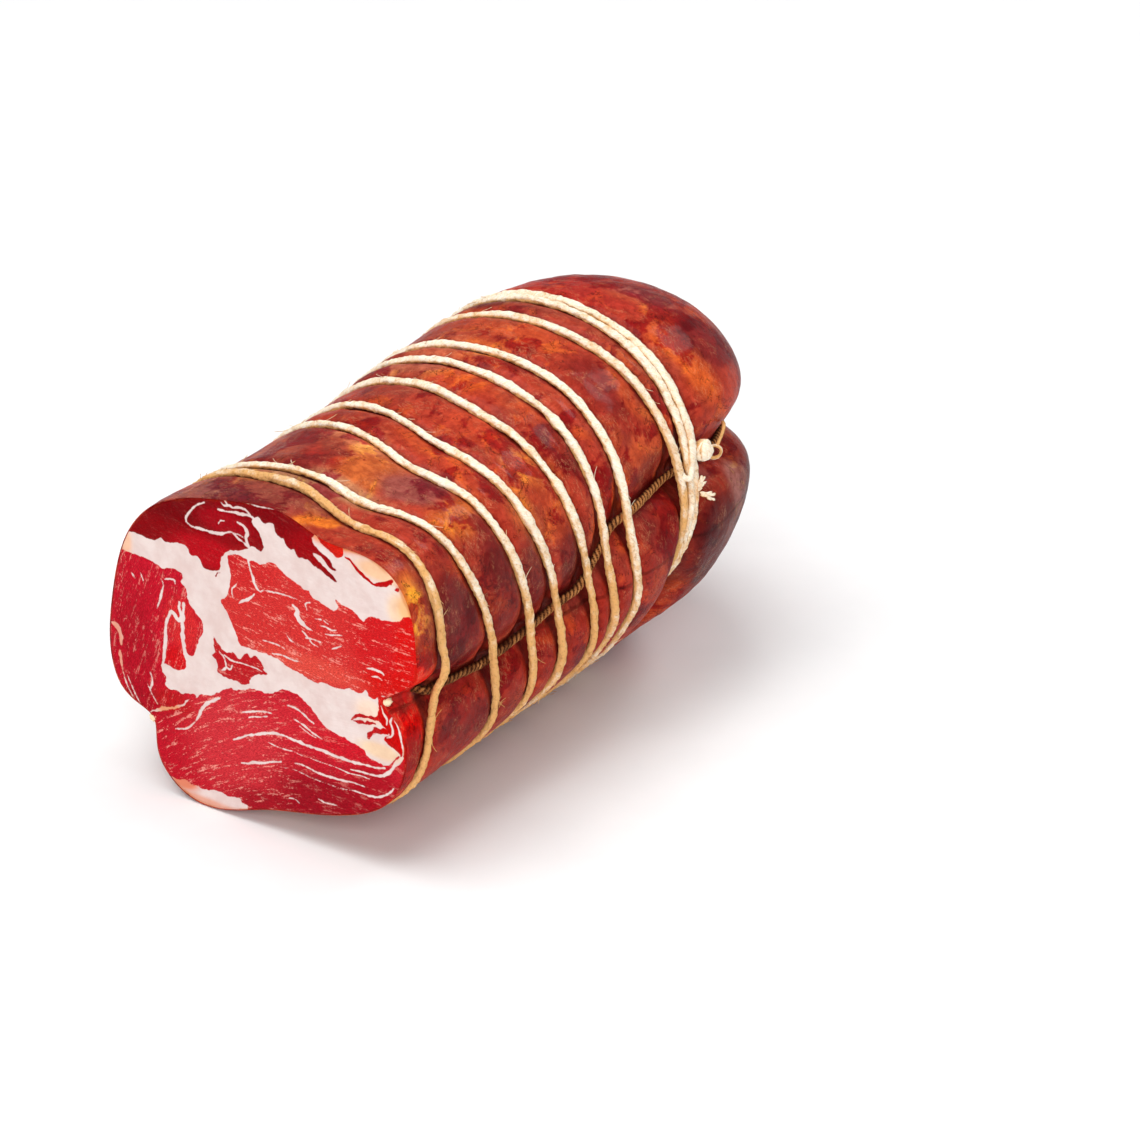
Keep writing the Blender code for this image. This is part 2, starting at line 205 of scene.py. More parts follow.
def skin(angle, station, creaseShare=1.0, grooveShare=1.0, channels=True, lift=0.0):
    # Point of the log at an angle and a station: the section's radius, shrunk over the far end as a
    # superellipse, turned round the core, and pressed flat on the table. lift adds to the radius.
    s = logShape
    angle, station = np.broadcast_arrays(np.asarray(angle, float), np.asarray(station, float))
    depth, inGroove = grooves(angle, station)
    growth = 1.0 + s["rearGrowth"] * np.clip(station / s["growthLength"], 0.0, 1.0)
    reach = np.clip((station - s["domeStart"]) / (s["length"] - s["domeStart"]), 0.0, 1.0)
    turn = np.arcsin(reach ** (s["domePower"] / 2.0))
    upper = hump(angleBetween(angle, s["upperLobe"][0]), s["upperLobe"][1])
    power = s["lowerPower"] + (s["upperPower"] - s["lowerPower"]) * upper
    dome = np.cos(turn) ** (2.0 / power)
    radius = sectionRadius(angle, station, creaseShare) - grooveShare * depth + lift
    radius = radius * dome * growth
    core = s["coreHeight"] * growth
    cleftHeight, cleftHalf, cleftDepth = s["cleft"]
    core = core + (cleftHeight - core) * (1.0 - dome)
    turned = np.radians(angle)
    y = -radius * np.cos(turned)
    z = np.maximum(core + radius * np.sin(turned),
                   loopSettings["channelHeight"] * inGroove if channels else 0.0)
    end = np.sin(turn) ** 2
    lobeHeight, lobeHalf, lobeOut = s["lowerLobe"]
    x = station + end * (lobeOut * hump(z - lobeHeight, lobeHalf)
                         - creaseShare * cleftDepth * hump(z - cleftHeight, cleftHalf))
    return np.stack([x + s["cutX"], y + s["centreY"], z], axis=-1)


def skinNormal(angle, station, creaseShare):
    # Outward direction: the cross product of small steps along the log and round it
    around = (skin(angle + 1.0, station, creaseShare, 0.0, False)
              - skin(angle - 1.0, station, creaseShare, 0.0, False))
    ahead = (skin(angle, np.minimum(station + 0.001, logShape["length"]), creaseShare, 0.0, False)
             - skin(angle, station - 0.001, creaseShare, 0.0, False))
    normal = np.cross(ahead, around)
    return normal / np.linalg.norm(normal, axis=-1, keepdims=True)


def gridQuads(rows, columns, closeColumns=False, closeRows=False):
    # Four corners of each cell of a grid, and the same corners as unwrapped (row, column) places
    r = np.arange(rows if closeRows else rows - 1)[:, None]
    c = np.arange(columns if closeColumns else columns - 1)[None, :]
    corners = ((r, c), (r, c + 1), (r + 1, c + 1), (r + 1, c))
    quads = np.stack([(a % rows) * columns + b % columns for a, b in corners], axis=-1)
    places = np.stack([np.stack(np.broadcast_arrays(a, b), axis=-1) for a, b in corners], axis=-2)
    return quads.reshape(-1, 4), places.reshape(-1, 4, 2)


def makePiece(name, points, faces, materials, replaced=(), uv=None, attributes=None):
    # Mesh from points and faces, with a UV map and named values, riding on the root body
    mesh = bpy.data.meshes.new(name)
    mesh.from_pydata(points.reshape(-1, 3).tolist(), [], faces)
    if uv is not None:
        layer = mesh.uv_layers.new(name="UVMap")
        flat = np.zeros((len(mesh.loops), 2))
        flat[:len(uv)] = uv
        layer.data.foreach_set("uv", flat.ravel())
    for key, values in (attributes or {}).items():
        values = np.asarray(values, float)
        width = 1 if values.ndim == 1 else values.shape[1]
        kind, field = {1: ("FLOAT", "value"), 3: ("FLOAT_VECTOR", "vector"),
                       4: ("FLOAT_COLOR", "color")}[width]
        mesh.attributes.new(key, kind, "POINT").data.foreach_set(field, values.ravel())
    for material in materials:
        mesh.materials.append(material)
    mesh.shade_smooth()
    piece = bpy.data.objects.new(name, mesh)
    bpy.context.scene.collection.objects.link(piece)
    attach(piece, "root")
    if replaced:
        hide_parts(*replaced)
    print(name, sum(len(f) - 2 for f in faces), "triangles")


def newMaterial(name, values):
    # A material whose shader starts with the named input values
    material = bpy.data.materials.new(name)
    material.use_nodes = True
    shader = material.node_tree.nodes["Principled BSDF"]
    for key, value in values.items():
        shader.inputs[key].default_value = value
    return material, material.node_tree, shader


def addNode(tree, kind, inputs=None, **settings):
    # A node with its settings, and its inputs set to values or linked from sockets
    node = tree.nodes.new("ShaderNode" + kind)
    for key, value in settings.items():
        setattr(node, key, value)
    for key, value in (inputs or {}).items():
        if isinstance(value, bpy.types.NodeSocket):
            tree.links.new(value, node.inputs[key])
        else:
            node.inputs[key].default_value = value
    return node


def noiseNode(tree, vector, scale, detail=4.0, roughness=0.55, distortion=0.0):
    values = {"Vector": vector, "Scale": scale, "Detail": detail, "Roughness": roughness,
              "Distortion": distortion}
    return addNode(tree, "TexNoise", values).outputs["Fac"]


def remap(tree, value, low, high, toLow=0.0, toHigh=1.0):
    # Values from low to high become toLow to toHigh by a smooth step, and stay there outside
    node = addNode(tree, "MapRange", {"Value": value, "From Min": low, "From Max": high,
                                      "To Min": toLow, "To Max": toHigh})
    node.interpolation_type = "SMOOTHSTEP"
    return node.outputs["Result"]


def maths(tree, operation, a, b=0.0):
    return addNode(tree, "Math", {0: a, 1: b}, operation=operation).outputs[0]


def blendColours(tree, factor, a, b, mode="MIX"):
    node = addNode(tree, "Mix", data_type="RGBA", blend_type=mode)
    for index, value in ((0, factor), (6, a), (7, b)):
        if isinstance(value, bpy.types.NodeSocket):
            tree.links.new(value, node.inputs[index])
        elif index == 0:
            node.inputs[index].default_value = value
        else:
            node.inputs[index].default_value = (*value, 1.0)
    return node.outputs[2]


# the casing is the skin round the log, with a rounded rim at the cut
casing = {
    "columns": 340, "rowLength": 0.00066, "domeFrom": 0.140, "domeRows": 58,
    "wrinkles": 0.00022, "pillow": 0.00025, "warp": 0.004, "base": (176, 58, 40),
    "rim": ((-0.0012, 1.4), (-0.0005, 1.0), (-0.0003, 0.12), (-0.00008, 0.0)),  # lift, mm inwards
    "creaseShade": (3.6, 0.010, 0.006),  # half width in degrees, where it starts, fade
    "flowRadius": 47,  # mm round the log for the wrinkles' pattern
}
skinPatches = (  # station mm, angle, half length mm, half angle, colour, strength
    (9, 100, 8, 26, (146, 70, 58), 0.85), (3, 112, 3, 14, (140, 86, 80), 0.6),
    (4, 73, 4, 3.5, (236, 126, 40), 0.85), (4, 29, 4.5, 9, (230, 138, 52), 0.97),
    (4, 17, 5, 8, (176, 48, 26), 0.75),
    (4, -20, 7, 14, (188, 14, 8), 0.9), (39.5, 94, 6, 10, (236, 146, 98), 0.9),
    (20, 92, 4, 22, (206, 168, 120), 0.55), (33, 98, 7, 10, (150, 22, 24), 0.8),
    (31, 80, 7, 7, (210, 112, 52), 0.7), (33, 66, 8, 7, (146, 84, 78), 0.7),
    (35, 49, 8, 7, (212, 108, 44), 0.75), (16, 50, 4, 14, (172, 58, 44), 0.5),
    (20, 18, 8, 18, (112, 14, 22), 0.9), (38, 20, 7, 12, (128, 30, 26), 0.85),
    (25, -18, 10, 15, (150, 24, 22), 0.85), (34, 118, 10, 12, (166, 86, 66), 0.6),
    (52, 96, 4, 12, (168, 56, 38), 0.6), (51, 76, 4, 10, (204, 84, 40), 0.6),
    (50, 56, 4, 8, (196, 70, 40), 0.6), (55, 36, 5, 6, (222, 118, 56), 0.8),
    (53, 18, 5, 12, (116, 24, 24), 0.9), (65, 100, 6, 14, (176, 62, 42), 0.6),
    (66, 66, 6, 12, (206, 76, 44), 0.65), (67, 48, 6, 6, (214, 112, 52), 0.75),
    (66, 33, 5, 6, (200, 84, 44), 0.6), (70, 18, 6, 12, (124, 34, 28), 0.9),
    (80, 112, 5, 14, (190, 112, 84), 0.6), (79, 88, 4, 10, (204, 78, 36), 0.65),
    (80, 66, 4, 8, (196, 78, 42), 0.6), (80, 49, 4.5, 8, (128, 26, 28), 0.9),
    (81, 30, 4, 6, (178, 74, 50), 0.6), (92, 108, 5, 14, (196, 106, 74), 0.6),
    (92, 90, 4, 9, (222, 112, 50), 0.75), (90, 62, 4, 10, (186, 74, 48), 0.5),
    (92, 42, 4, 8, (182, 62, 44), 0.5), (104, 112, 6, 14, (168, 72, 52), 0.6),
    (105, 88, 6, 14, (206, 84, 44), 0.7), (105, 58, 7, 11, (134, 34, 30), 0.85),
    (111, 50, 3, 10, (206, 86, 44), 0.6), (104, 34, 7, 6, (198, 86, 48), 0.65),
    (106, 26, 6, 5, (124, 40, 32), 0.7), (104, 2, 9, 12, (150, 42, 34), 0.8),
    (104, -16, 8, 10, (140, 50, 46), 0.7), (119, 114, 5, 10, (98, 40, 34), 0.8),
    (120, 80, 4, 24, (164, 66, 48), 0.6), (133, 95, 7, 18, (176, 42, 38), 0.7),
    (134, 48, 5, 12, (222, 100, 40), 0.8), (138, 66, 3, 12, (206, 96, 54), 0.5),
    (144, 74, 5, 7, (170, 100, 92), 0.7), (147, 50, 9, 10, (124, 32, 36), 0.85),
    (150, 88, 7, 14, (150, 40, 40), 0.7), (144, 32, 7, 8, (190, 70, 52), 0.7),
    (136, -14, 16, 22, (84, 20, 18), 0.95), (143, 4, 4, 5, (170, 110, 100), 0.6),
    (123, -2, 6, 14, (92, 20, 20), 0.85), (136, 9, 3, 4, (182, 124, 114), 0.65),
    (138, 1, 2.5, 5, (172, 112, 104), 0.6), (134, -7, 2.5, 4, (160, 96, 88), 0.5),
    (150, -10, 12, 18, (96, 26, 22), 0.85), (70, -16, 34, 16, (152, 30, 22), 0.6),
    (148, -12, 3, 6, (176, 120, 110), 0.5), (2, 2, 6, 12, (236, 4, 4), 0.97),
)


def blobs(station, angle, patches, base):
    # Colour at each point: the base, then each patch laid over it as a soft bell times its strength
    result = np.broadcast_to(colour(*base), (*np.shape(station), 3)).copy()
    for s, a, halfLength, halfAngle, tint, strength in patches:
        near = np.exp(-((station / mm - s) / halfLength) ** 2
                      - (angleBetween(angle, a) / halfAngle) ** 2)
        share = (strength * ease(near * 1.7))[..., None]
        result = result * (1 - share) + colour(*tint) * share
    return result


def buildCasing(material):
    # The skin's surface on a grid of angles and stations, with folds added to the radius: noise
    # stretched across the log, stronger beside the twine. The first rings turn the rim in over
    # the cut, and a centre point closes the skin behind the cut face.
    c, s = casing, logShape
    angles = np.arange(c["columns"]) * 360.0 / c["columns"]
    side = np.arange(0.0003, c["domeFrom"], c["rowLength"])
    turnFrom = math.asin(((c["domeFrom"] - s["domeStart"]) / (s["length"] - s["domeStart"]))
                         ** (s["domePower"] / 2))
    turns = np.linspace(turnFrom, math.pi / 2, c["domeRows"] + 1)[:-1]
    dome = s["domeStart"] + (s["length"] - s["domeStart"]) * np.sin(turns) ** (2 / s["domePower"])
    stations = np.concatenate([side, dome])
    angle, station = np.meshgrid(angles, stations)
    warped = station + c["warp"] * softNoise(angle / 24, station / 0.02, 3, 15)
    folds = softNoise(angle / 3.0, warped / 0.0035, 5, 120) * 0.6 \
        + softNoise(angle / 7.2, warped / 0.0016, 6, 50) * 0.4
    lumps = softNoise(angle / 15, station / 0.011, 7, 24)
    share = grooves(angle, station)[1]
    fade = ease(station / 0.004) * ease((s["length"] - station) / 0.01)
    lift = fade * (c["wrinkles"] * folds * (0.5 + hump(share - 0.35, 0.3)) + c["pillow"] * lumps)
    points = skin(angle, station, lift=lift)
    rim = [skin(angles, np.full(len(angles), 0.0), lift=lift) + np.array([x * mm, 0, 0])
           for lift, x in c["rim"]]
    rings = np.concatenate([np.array(rim), points])
    pole = skin(np.array([0.0]), np.array([s["length"]]))
    inside = rings[0].mean(axis=0)[None]
    rows, columns = rings.shape[:2]
    quads, _ = gridQuads(rows, columns, closeColumns=True)
    first = np.arange(columns)
    following = (first + 1) % columns
    last = (rows - 1) * columns
    centre = np.full(columns, rows * columns)
    fans = np.concatenate([np.stack([centre, first, following], axis=1),
                           np.stack([centre + 1, last + following, last + first], axis=1)]).tolist()
    allPoints = np.concatenate([rings.reshape(-1, 3), inside, pole])
    allStations = np.concatenate([np.zeros((len(rim), columns)), station]).ravel()
    allAngles = np.concatenate([np.tile(angles, (len(rim), 1)), angle]).ravel()
    allStations = np.concatenate([allStations, [0.0, s["length"]]])
    allAngles = np.concatenate([allAngles, [0.0, 0.0]])
    tint = blobs(allStations + 0.0025 * softNoise(allAngles / 12, allStations / 0.006, 11, 30),
                 allAngles + 5 * softNoise(allAngles / 9, allStations / 0.008, 12, 40),
                 skinPatches, c["base"])
    tint = np.concatenate([tint, np.ones((len(tint), 1))], axis=1)
    # painted shade: a dark mask in the grooves beside the twine and along both creases, which the
    # casing's material lays over its colour
    twineShade = grooves(allAngles, allStations)[1]
    half, start, fade = c["creaseShade"]
    for angles, _ in (s["rightCrease"], s["leftCrease"]):
        crease = hump(angleBetween(allAngles, along(angles, allStations)), half)
        twineShade = np.maximum(twineShade, crease * ease((allStations - start) / fade))
    flow = np.stack([allStations / mm, np.radians(allAngles) * c["flowRadius"],
                     np.zeros(len(allAngles))], axis=1)
    makePiece("casing", allPoints, quads[:, ::-1].tolist() + fans, [material],
              ("coppa_body",), attributes={"tint": tint, "beside": twineShade, "flow": flow})


# lean muscles on the cut face, outlined in fat; places are mm to the right and mm up from the table
topMuscle = ((-46, 70.5), (-41, 71.2), (-38, 71.3), (-35, 71.0), (-33.8, 71.3), (-32.6, 73.0),
             (-31, 72.2), (-28.5, 72.6), (-26.2, 73.1), (-24.2, 72.6), (-23.3, 70.9), (-21, 70.6),
             (-20, 69.6), (-19, 68.2), (-17.5, 67.8), (-16, 68.5), (-14.2, 69.4), (-13.6, 71.5),
             (-12.4, 73.6), (-10.8, 75.4), (-8.2, 76.2), (-6.2, 77.4), (-4.6, 78.2), (-3.2, 79.2),
             (-1.6, 78.6), (-0.4, 78.6), (-0.3, 80), (-0.6, 82), (-1.6, 83.6), (-2.8, 84.6),
             (-3.3, 86), (-1.8, 87.6), (0, 86.3), (1.5, 86.6), (2.6, 87), (3.4, 86.6), (3.7, 84.8),
             (5, 84), (6, 84.3), (6.8, 83), (8.2, 81.8), (9.3, 82.2), (10.2, 80.6), (12.5, 80.3),
             (14.5, 80), (17, 78.9), (19.5, 77.6), (21.8, 76.9), (22.4, 77.4), (20.5, 79),
             (18, 80.3), (16.2, 81.8), (15.4, 82.8), (17.5, 82.4), (20, 80.9), (21.8, 80),
             (22.2, 80.7), (20.3, 82.6), (17.8, 84.3), (16, 85.6), (15.2, 87), (15.5, 89),
             (13, 98), (-10, 100), (-40, 92), (-54, 76))
leftMuscle = ((-46, 65.2), (-38, 65), (-32, 64.3), (-30.8, 65), (-26.2, 64.8), (-25.8, 62.2),
              (-26.2, 61.5), (-24.6, 60.2), (-24.4, 57.6), (-23.2, 56), (-21.8, 54.7),
              (-20.8, 54.4), (-19.9, 53), (-19.8, 50.2), (-21, 48), (-22, 45), (-22.9, 42.9),
              (-23.9, 42.1), (-25, 42.6), (-25.7, 43.6), (-26.2, 41.4), (-25.3, 40), (-26, 37.2),
              (-30, 36.4), (-32.6, 37), (-33, 35.6), (-32.6, 34.4), (-31.6, 33.6), (-32.2, 31.5),
              (-31, 30.4), (-28.5, 30.8), (-27, 30.2), (-26, 31.2), (-24.3, 31), (-24.4, 29.6),
              (-26, 28.5), (-26.6, 27.3), (-29, 26.2), (-31, 25.2), (-33.5, 24.5), (-36, 22.8),
              (-39.5, 20.3), (-46, 18), (-60, 30), (-60, 50), (-54, 62))
islandMuscle = ((-16.5, 49.6), (-15.2, 48.2), (-14.2, 47.6), (-12.6, 46.4), (-11.2, 46.8),
                (-9.6, 47.1), (-8.4, 46), (-7.2, 47.6), (-6, 48.7), (-5, 47.4), (-4, 48.4),
                (-3.2, 48.6), (-2, 47.4), (-0.6, 46.2), (-1.2, 45.2), (0.2, 44.4), (-2.4, 43.3),
                (-4.6, 42.4), (-5.4, 41), (-5.8, 39.6), (-9, 39.3), (-12.5, 39), (-15.2, 39.9),
                (-15.8, 41.6), (-16.2, 43.6), (-17, 44.6), (-16.2, 46), (-16.4, 47.6))
eyeMuscle = ((-10.8, 74.2), (-8.8, 75), (-6.2, 75), (-4.6, 74.8), (-2.4, 75), (-1, 74.6),
             (1.5, 75.9), (3.4, 75.9), (5.6, 74.6), (8, 73.6), (10, 72.6), (12.4, 71.6),
             (13.6, 71.8), (14.6, 70.2), (17.5, 70), (20.4, 69), (21.6, 68.6), (22.6, 70.4),
             (21.9, 71.9), (23.2, 71.5), (25.2, 70.9), (27.5, 70.5), (29, 69.4), (30.4, 69),
             (32, 70.4), (34, 70.9), (37, 71.2), (41, 71.9), (45, 74.4), (62, 75), (62, 56),
             (45, 52), (41, 51), (38.5, 50.4), (35.5, 49.7), (34.2, 49), (33.2, 48),
             (31.8, 48.2), (31.2, 49.8), (29.8, 49), (28.5, 48.3), (26, 48.6), (23.5, 47.9),
             (20.5, 47.2), (18, 47.5), (16, 47.3), (13, 47.5), (10, 48), (7, 48.6), (4.4, 49.8),
             (1.5, 50.1), (-2, 50.1), (-5, 50.2), (-7.4, 50), (-8.6, 51), (-9.4, 53),
             (-10.2, 55), (-11.4, 57), (-12.8, 58.6), (-14, 60), (-13.2, 61.6), (-12, 62.8),
             (-11.4, 65), (-10.7, 67), (-10.5, 69.5), (-11, 72), (-11.2, 73.4))
foldMuscle = ((34.4, 49.3), (34.6, 47), (34.9, 45.2), (34.2, 43.4), (34.8, 42.2), (36, 41.2),
              (37.4, 40.6), (37.8, 39.4), (36.4, 38.3), (36.8, 37), (39, 36), (40.6, 35.3),
              (41.2, 33.8), (42, 30), (60, 30), (60, 52), (45, 52.5), (41, 51), (38.5, 50.2),
              (36, 49.6))
lowerMuscle = ((-32.5, 24), (-30, 25), (-27, 26.5), (-25.2, 28.5), (-24.2, 31.2),
               (-22.6, 31.2), (-22.2, 30.2), (-21, 31.8), (-19.5, 32.1), (-17.6, 32.4),
               (-16.2, 33.4), (-14.5, 34.6), (-13, 35.6), (-11.4, 36.6), (-9.6, 36.8),
               (-7.8, 37.8), (-5, 38.4), (-2.6, 38.7), (-0.6, 39.2), (1.6, 39.8), (3.2, 40.6),
               (4.8, 41.8), (6.8, 42), (8.8, 41.7), (10.5, 41.3), (12.4, 40.2), (14.4, 38.8),
               (16.2, 36.8), (18.2, 35.4), (20.6, 34.6), (23, 34.2), (26, 34), (28.4, 33.4),
               (30.2, 32.6), (31, 31.6), (33, 30.8), (35.6, 30.7), (37.6, 31.4), (39.4, 33.2),
               (40.8, 34.8), (42.6, 33.4), (62, 33), (62, -12), (-62, -12), (-52, 15),
               (-40, 19.4), (-36.5, 22))
bottomFat = ((-32, 4.2), (-29, 4.9), (-27, 5.4), (-25.5, 4.8), (-24, 5), (-20, 5.2), (-15, 5.6),
             (-11, 5.7), (-9.2, 5.9), (-8.6, 5), (-6.8, 4.6), (-7.2, 3.2), (-10, 1), (-15, -2),
             (-23, -3), (-30, -2), (-34, 2))
redWedge = ((16.5, 87.8), (20, 88), (24, 87.6), (24.6, 86), (24.3, 84.8), (22.5, 83.9),
            (20.8, 84.5), (18.8, 85.2), (17.3, 86.6))
redSliver = ((25, 84.5), (26.5, 83.8), (28, 82.6), (29, 81.5), (31, 80.6), (33, 79.9), (36, 79.8),
             (38, 80.8), (39.5, 82.3), (38.8, 82.6), (37, 81.7), (35, 81), (33, 81), (31, 81.7),
             (29.5, 82.7), (27.5, 84.2), (26, 85), (25.2, 85))
fatLines = (  # half width in mm, then points
    (0.35, (-24, 79.6), (-24.2, 80.6), (-23, 82.6), (-21, 84.9), (-18.2, 86.6)),
    (0.42, (-24.2, 79.6), (-22.5, 78.8), (-19, 79), (-15.5, 79.2), (-13, 79.6), (-11, 80.7),
     (-9.6, 80.9), (-8, 79.9), (-6.2, 79.2), (-4.8, 78.4)),
    (0.3, (-9.6, 80.9), (-7.5, 80.9), (-6.2, 80.5)),
    (0.5, (-8, 84.2), (-6.5, 83.9), (-5.5, 83.2), (-5, 82), (-5.6, 80.8), (-5.2, 79.6),
     (-4.4, 78.4)),
    (0.45, (-14, 86), (-11.5, 86.2), (-9, 86.6), (-7, 86.7), (-5, 87.2), (-3.4, 87), (-1.5, 86)),
    (0.42, (-13, 88.2), (-12, 87.6), (-10.5, 88.2), (-9.2, 87.9), (-7.8, 88.3), (-5.6, 88.5),
     (-4, 87.6)), (0.25, (-12.3, 89.6), (-11, 88.4)),
    (0.2, (-8.5, 91), (-5.5, 90.7), (-2.5, 90.5), (0.5, 90.8), (3, 91.2), (5, 91.5)),
    (0.22, (-14, 82.2), (-13.4, 83.2), (-12.2, 83.4)),
    (0.55, (15.2, 86.9), (16, 85.6), (17.8, 84.2), (20, 83.2), (22.6, 81)),
    (0.7, (-25.6, 56), (-26, 53), (-26.2, 50), (-26.3, 47), (-26, 44), (-25.8, 41.6)),
    (0.6, (-27, 56), (-27.2, 54.5), (-26.6, 52.8), (-27.4, 51), (-28.6, 52.3), (-29.6, 52.6),
     (-30.4, 51)),
    (0.6, (-30, 52.5), (-31.2, 49.5), (-31.6, 47), (-31.8, 44), (-32.2, 41), (-32.8, 37)),
    (0.3, (-32.5, 61), (-32, 59.5), (-32.6, 57), (-33.4, 54.5), (-34.2, 52)),
    (0.3, (-31.5, 61.2), (-30, 61.8), (-28.5, 62), (-28.2, 60.8)),
    (0.25, (-42.2, 60), (-41, 58.4)), (0.25, (-39.2, 60.6), (-38.2, 58.4)),
    (0.25, (-44.5, 30), (-42.4, 26), (-40.2, 22.5)), (0.28, (-46.4, 33), (-45, 28), (-42.4, 23.6)),
    (0.25, (-38, 29.4), (-36.4, 26.6), (-35, 24.6)), (0.3, (-37, 33), (-36.4, 30.6), (-37.4, 28)),
    (0.7, (-48.8, 43.4), (-47.4, 43), (-46.2, 41), (-46.2, 38)), (0.6, (-46.6, 36), (-46.2, 32)),
    (0.3, (-13.2, 45.5), (-11.5, 44.9), (-9, 44.8), (-6.5, 45), (-4, 45), (-1.5, 44.6)),
    (0.35, (-14.8, 46.2), (-13.2, 44.4), (-12.8, 42.4), (-14.2, 41)),
    (0.28, (-12.8, 42.6), (-11.4, 42), (-10.8, 43.6)),
    (0.4, (-4.9, 75), (-4.6, 73), (-3.6, 70.5), (-3.2, 68.8), (-2, 67.4), (-1, 67)),
    (0.27, (-1.4, 67.2), (0.6, 68), (3.5, 68.3), (7, 68.5), (10, 68.5)),
    (0.36, (-8.2, 61.6), (-6.6, 63), (-4.6, 64.2), (-3.2, 65.8)),
    (0.25, (-10, 63), (-10.4, 65), (-9.2, 66.2), (-8.3, 67.6)),
    (0.9, (8.7, 66.4), (10, 65.4), (9.8, 64), (10.8, 62.8), (12, 61.8)),
    (0.4, (11.2, 62), (13.2, 61.4), (14.6, 61.2)), (0.2, (13, 66.4), (12.6, 68), (14, 68.8)),
    (0.25, (17, 63.3), (18.5, 63.4), (20.5, 63.2), (22, 63.6)),
    (0.3, (18.6, 61.4), (20.5, 61.8), (22, 62.3), (23.8, 62.6)),
    (0.28, (20.5, 58), (22, 58.8), (23.5, 59.6)), (0.28, (12.5, 58.5), (14.5, 58.8), (17, 58.7)),
    (0.25, (11.5, 60), (12.5, 59.3), (14.5, 57.6), (16.5, 57.2)),
    (0.25, (6.4, 57.6), (7.5, 56.6), (9, 56), (10, 55.2)),
    (0.3, (31, 56), (33, 56.4), (35.5, 56.2), (36.5, 55.6)),
    (0.2, (32.5, 54.2), (34.5, 54.6), (36, 53.8)),
    (0.25, (-1, 53.5), (3, 53.9), (6, 53.2)), (0.25, (2, 50.9), (5, 51.2), (8.5, 51), (10.5, 51.3)),
    (0.2, (15.4, 64.9), (17.5, 65.1), (19.5, 64.5)),
    (0.3, (35.4, 46.8), (36.2, 44.8), (37.2, 43.5), (37, 42)),
    (0.35, (36.4, 47.8), (38.6, 45.8), (40.2, 43), (41.2, 40), (42, 36.5), (41.6, 34.4)),
    (0.35, (38.8, 44.8), (38.2, 43), (38.9, 41.2), (38.6, 39.4), (37, 38.4)),
    (0.42, (-11, 22.2), (-9, 23.4), (-6.5, 25), (-4, 26), (-1, 27.2), (2, 28.2), (5, 28.6),
     (8.5, 28.4), (12, 28.2), (16, 28.3), (20, 28.1), (24, 28), (28, 28.2), (31, 28.5),
     (34, 28.9), (36.2, 29.8)),
    (0.62, (36, 27.4), (37.6, 29), (38.8, 30.6), (39.8, 32), (41, 33.4), (41.8, 34.4)),
    (0.34, (25.8, 25.9), (28.5, 26.1), (31, 26.3), (33.5, 26.6), (35.5, 27.3), (37, 28.8)),
    (0.3, (-29.4, 19.3), (-26.5, 20.4), (-24.6, 21.6), (-22.8, 23.6)),
    (0.5, (-22.8, 23.6), (-21.6, 25.8), (-20.6, 28), (-19, 30), (-17, 31.4), (-15, 32.8)),
    (0.3, (-8.2, 31), (-6, 31.8), (-3.5, 32.8), (-1, 33.4), (1.5, 33.7)),
    (0.28, (-6, 30.2), (-4.5, 30.9), (-2, 31.7), (0, 32.4)),
    (0.3, (6, 37.6), (8.5, 37.8), (11, 37), (13, 35.8), (14.5, 35.2)),
    (0.3, (8, 34.3), (10.5, 34), (13, 32.8), (15.8, 31.8), (17, 31.4)),
    (0.2, (10, 33), (13, 31.8), (15.4, 31.2)),
    (0.4, (-8.5, 16.4), (-6.5, 16.9), (-4, 18), (-1.5, 18.8), (1.5, 19.9), (4, 20.8)),
    (0.15, (3.5, 19.2), (8, 19.8), (14, 19.4), (22, 19.3), (27, 20.1), (30.5, 20.3)),
    (0.33, (8, 21.6), (10, 22.1), (13, 21.9), (16, 21.5), (20, 21.6), (23.6, 21.8), (26, 22.3),
     (30, 22.3)),
    (0.32, (27, 20.1), (29.5, 20.1), (32, 20.4), (34, 20.8), (36, 21.8), (38.2, 23.6), (39, 24.8)),
    (0.2, (12, 25), (16, 24.8), (21, 24.9), (25, 24.6), (29, 25), (31.5, 25)),
    (0.18, (0, 25), (4, 24.7), (8, 25), (12, 24.8)),
    (0.28, (15.5, 14.1), (17.2, 13.7), (19.3, 14), (21.4, 14.1)),
    (0.22, (6.4, 11.2), (8, 11.5), (9.5, 10.8)),
)
leanLines = (  # the same, of lean in the fat
    (0.35, (-15.6, 66.9), (-14.9, 68), (-13.8, 68.5)),
    (0.6, (26.2, 39.8), (27.5, 41.1), (30, 42), (33, 42.4), (34.4, 43.8), (34.8, 45.6)),
    (0.4, (26.8, 39.6), (29, 40), (31.5, 40.6), (33.6, 41.2)),
    (0.85, (31.2, 36.6), (32, 38.2), (34, 39.3), (36, 39.8), (37.8, 40.2), (38.4, 41.2)),
    (0.5, (40, 80.3), (41, 80.8), (41.2, 81.4)),
)
muscles = (  # outline, colour, fleck strength 0-1, fibre slope in degrees, fibre bend per mm
    (topMuscle, (136, 2, 10), 0.05, -12, 0.0),
    (leftMuscle, (192, 18, 40), 0.5, 72, 0.0),
    (islandMuscle, (186, 24, 32), 0.5, 0, 0.0),
    (eyeMuscle, (208, 50, 48), 0.8, -6, 0.002),
    (foldMuscle, (196, 4, 4), 0.1, -60, 0.0),
    (lowerMuscle, (194, 28, 44), 0.9, 16, -0.006),
    (redWedge, (214, 30, 16), 0.1, -10, 0.0),
    (redSliver, (184, 8, 12), 0.1, -20, 0.0),
)
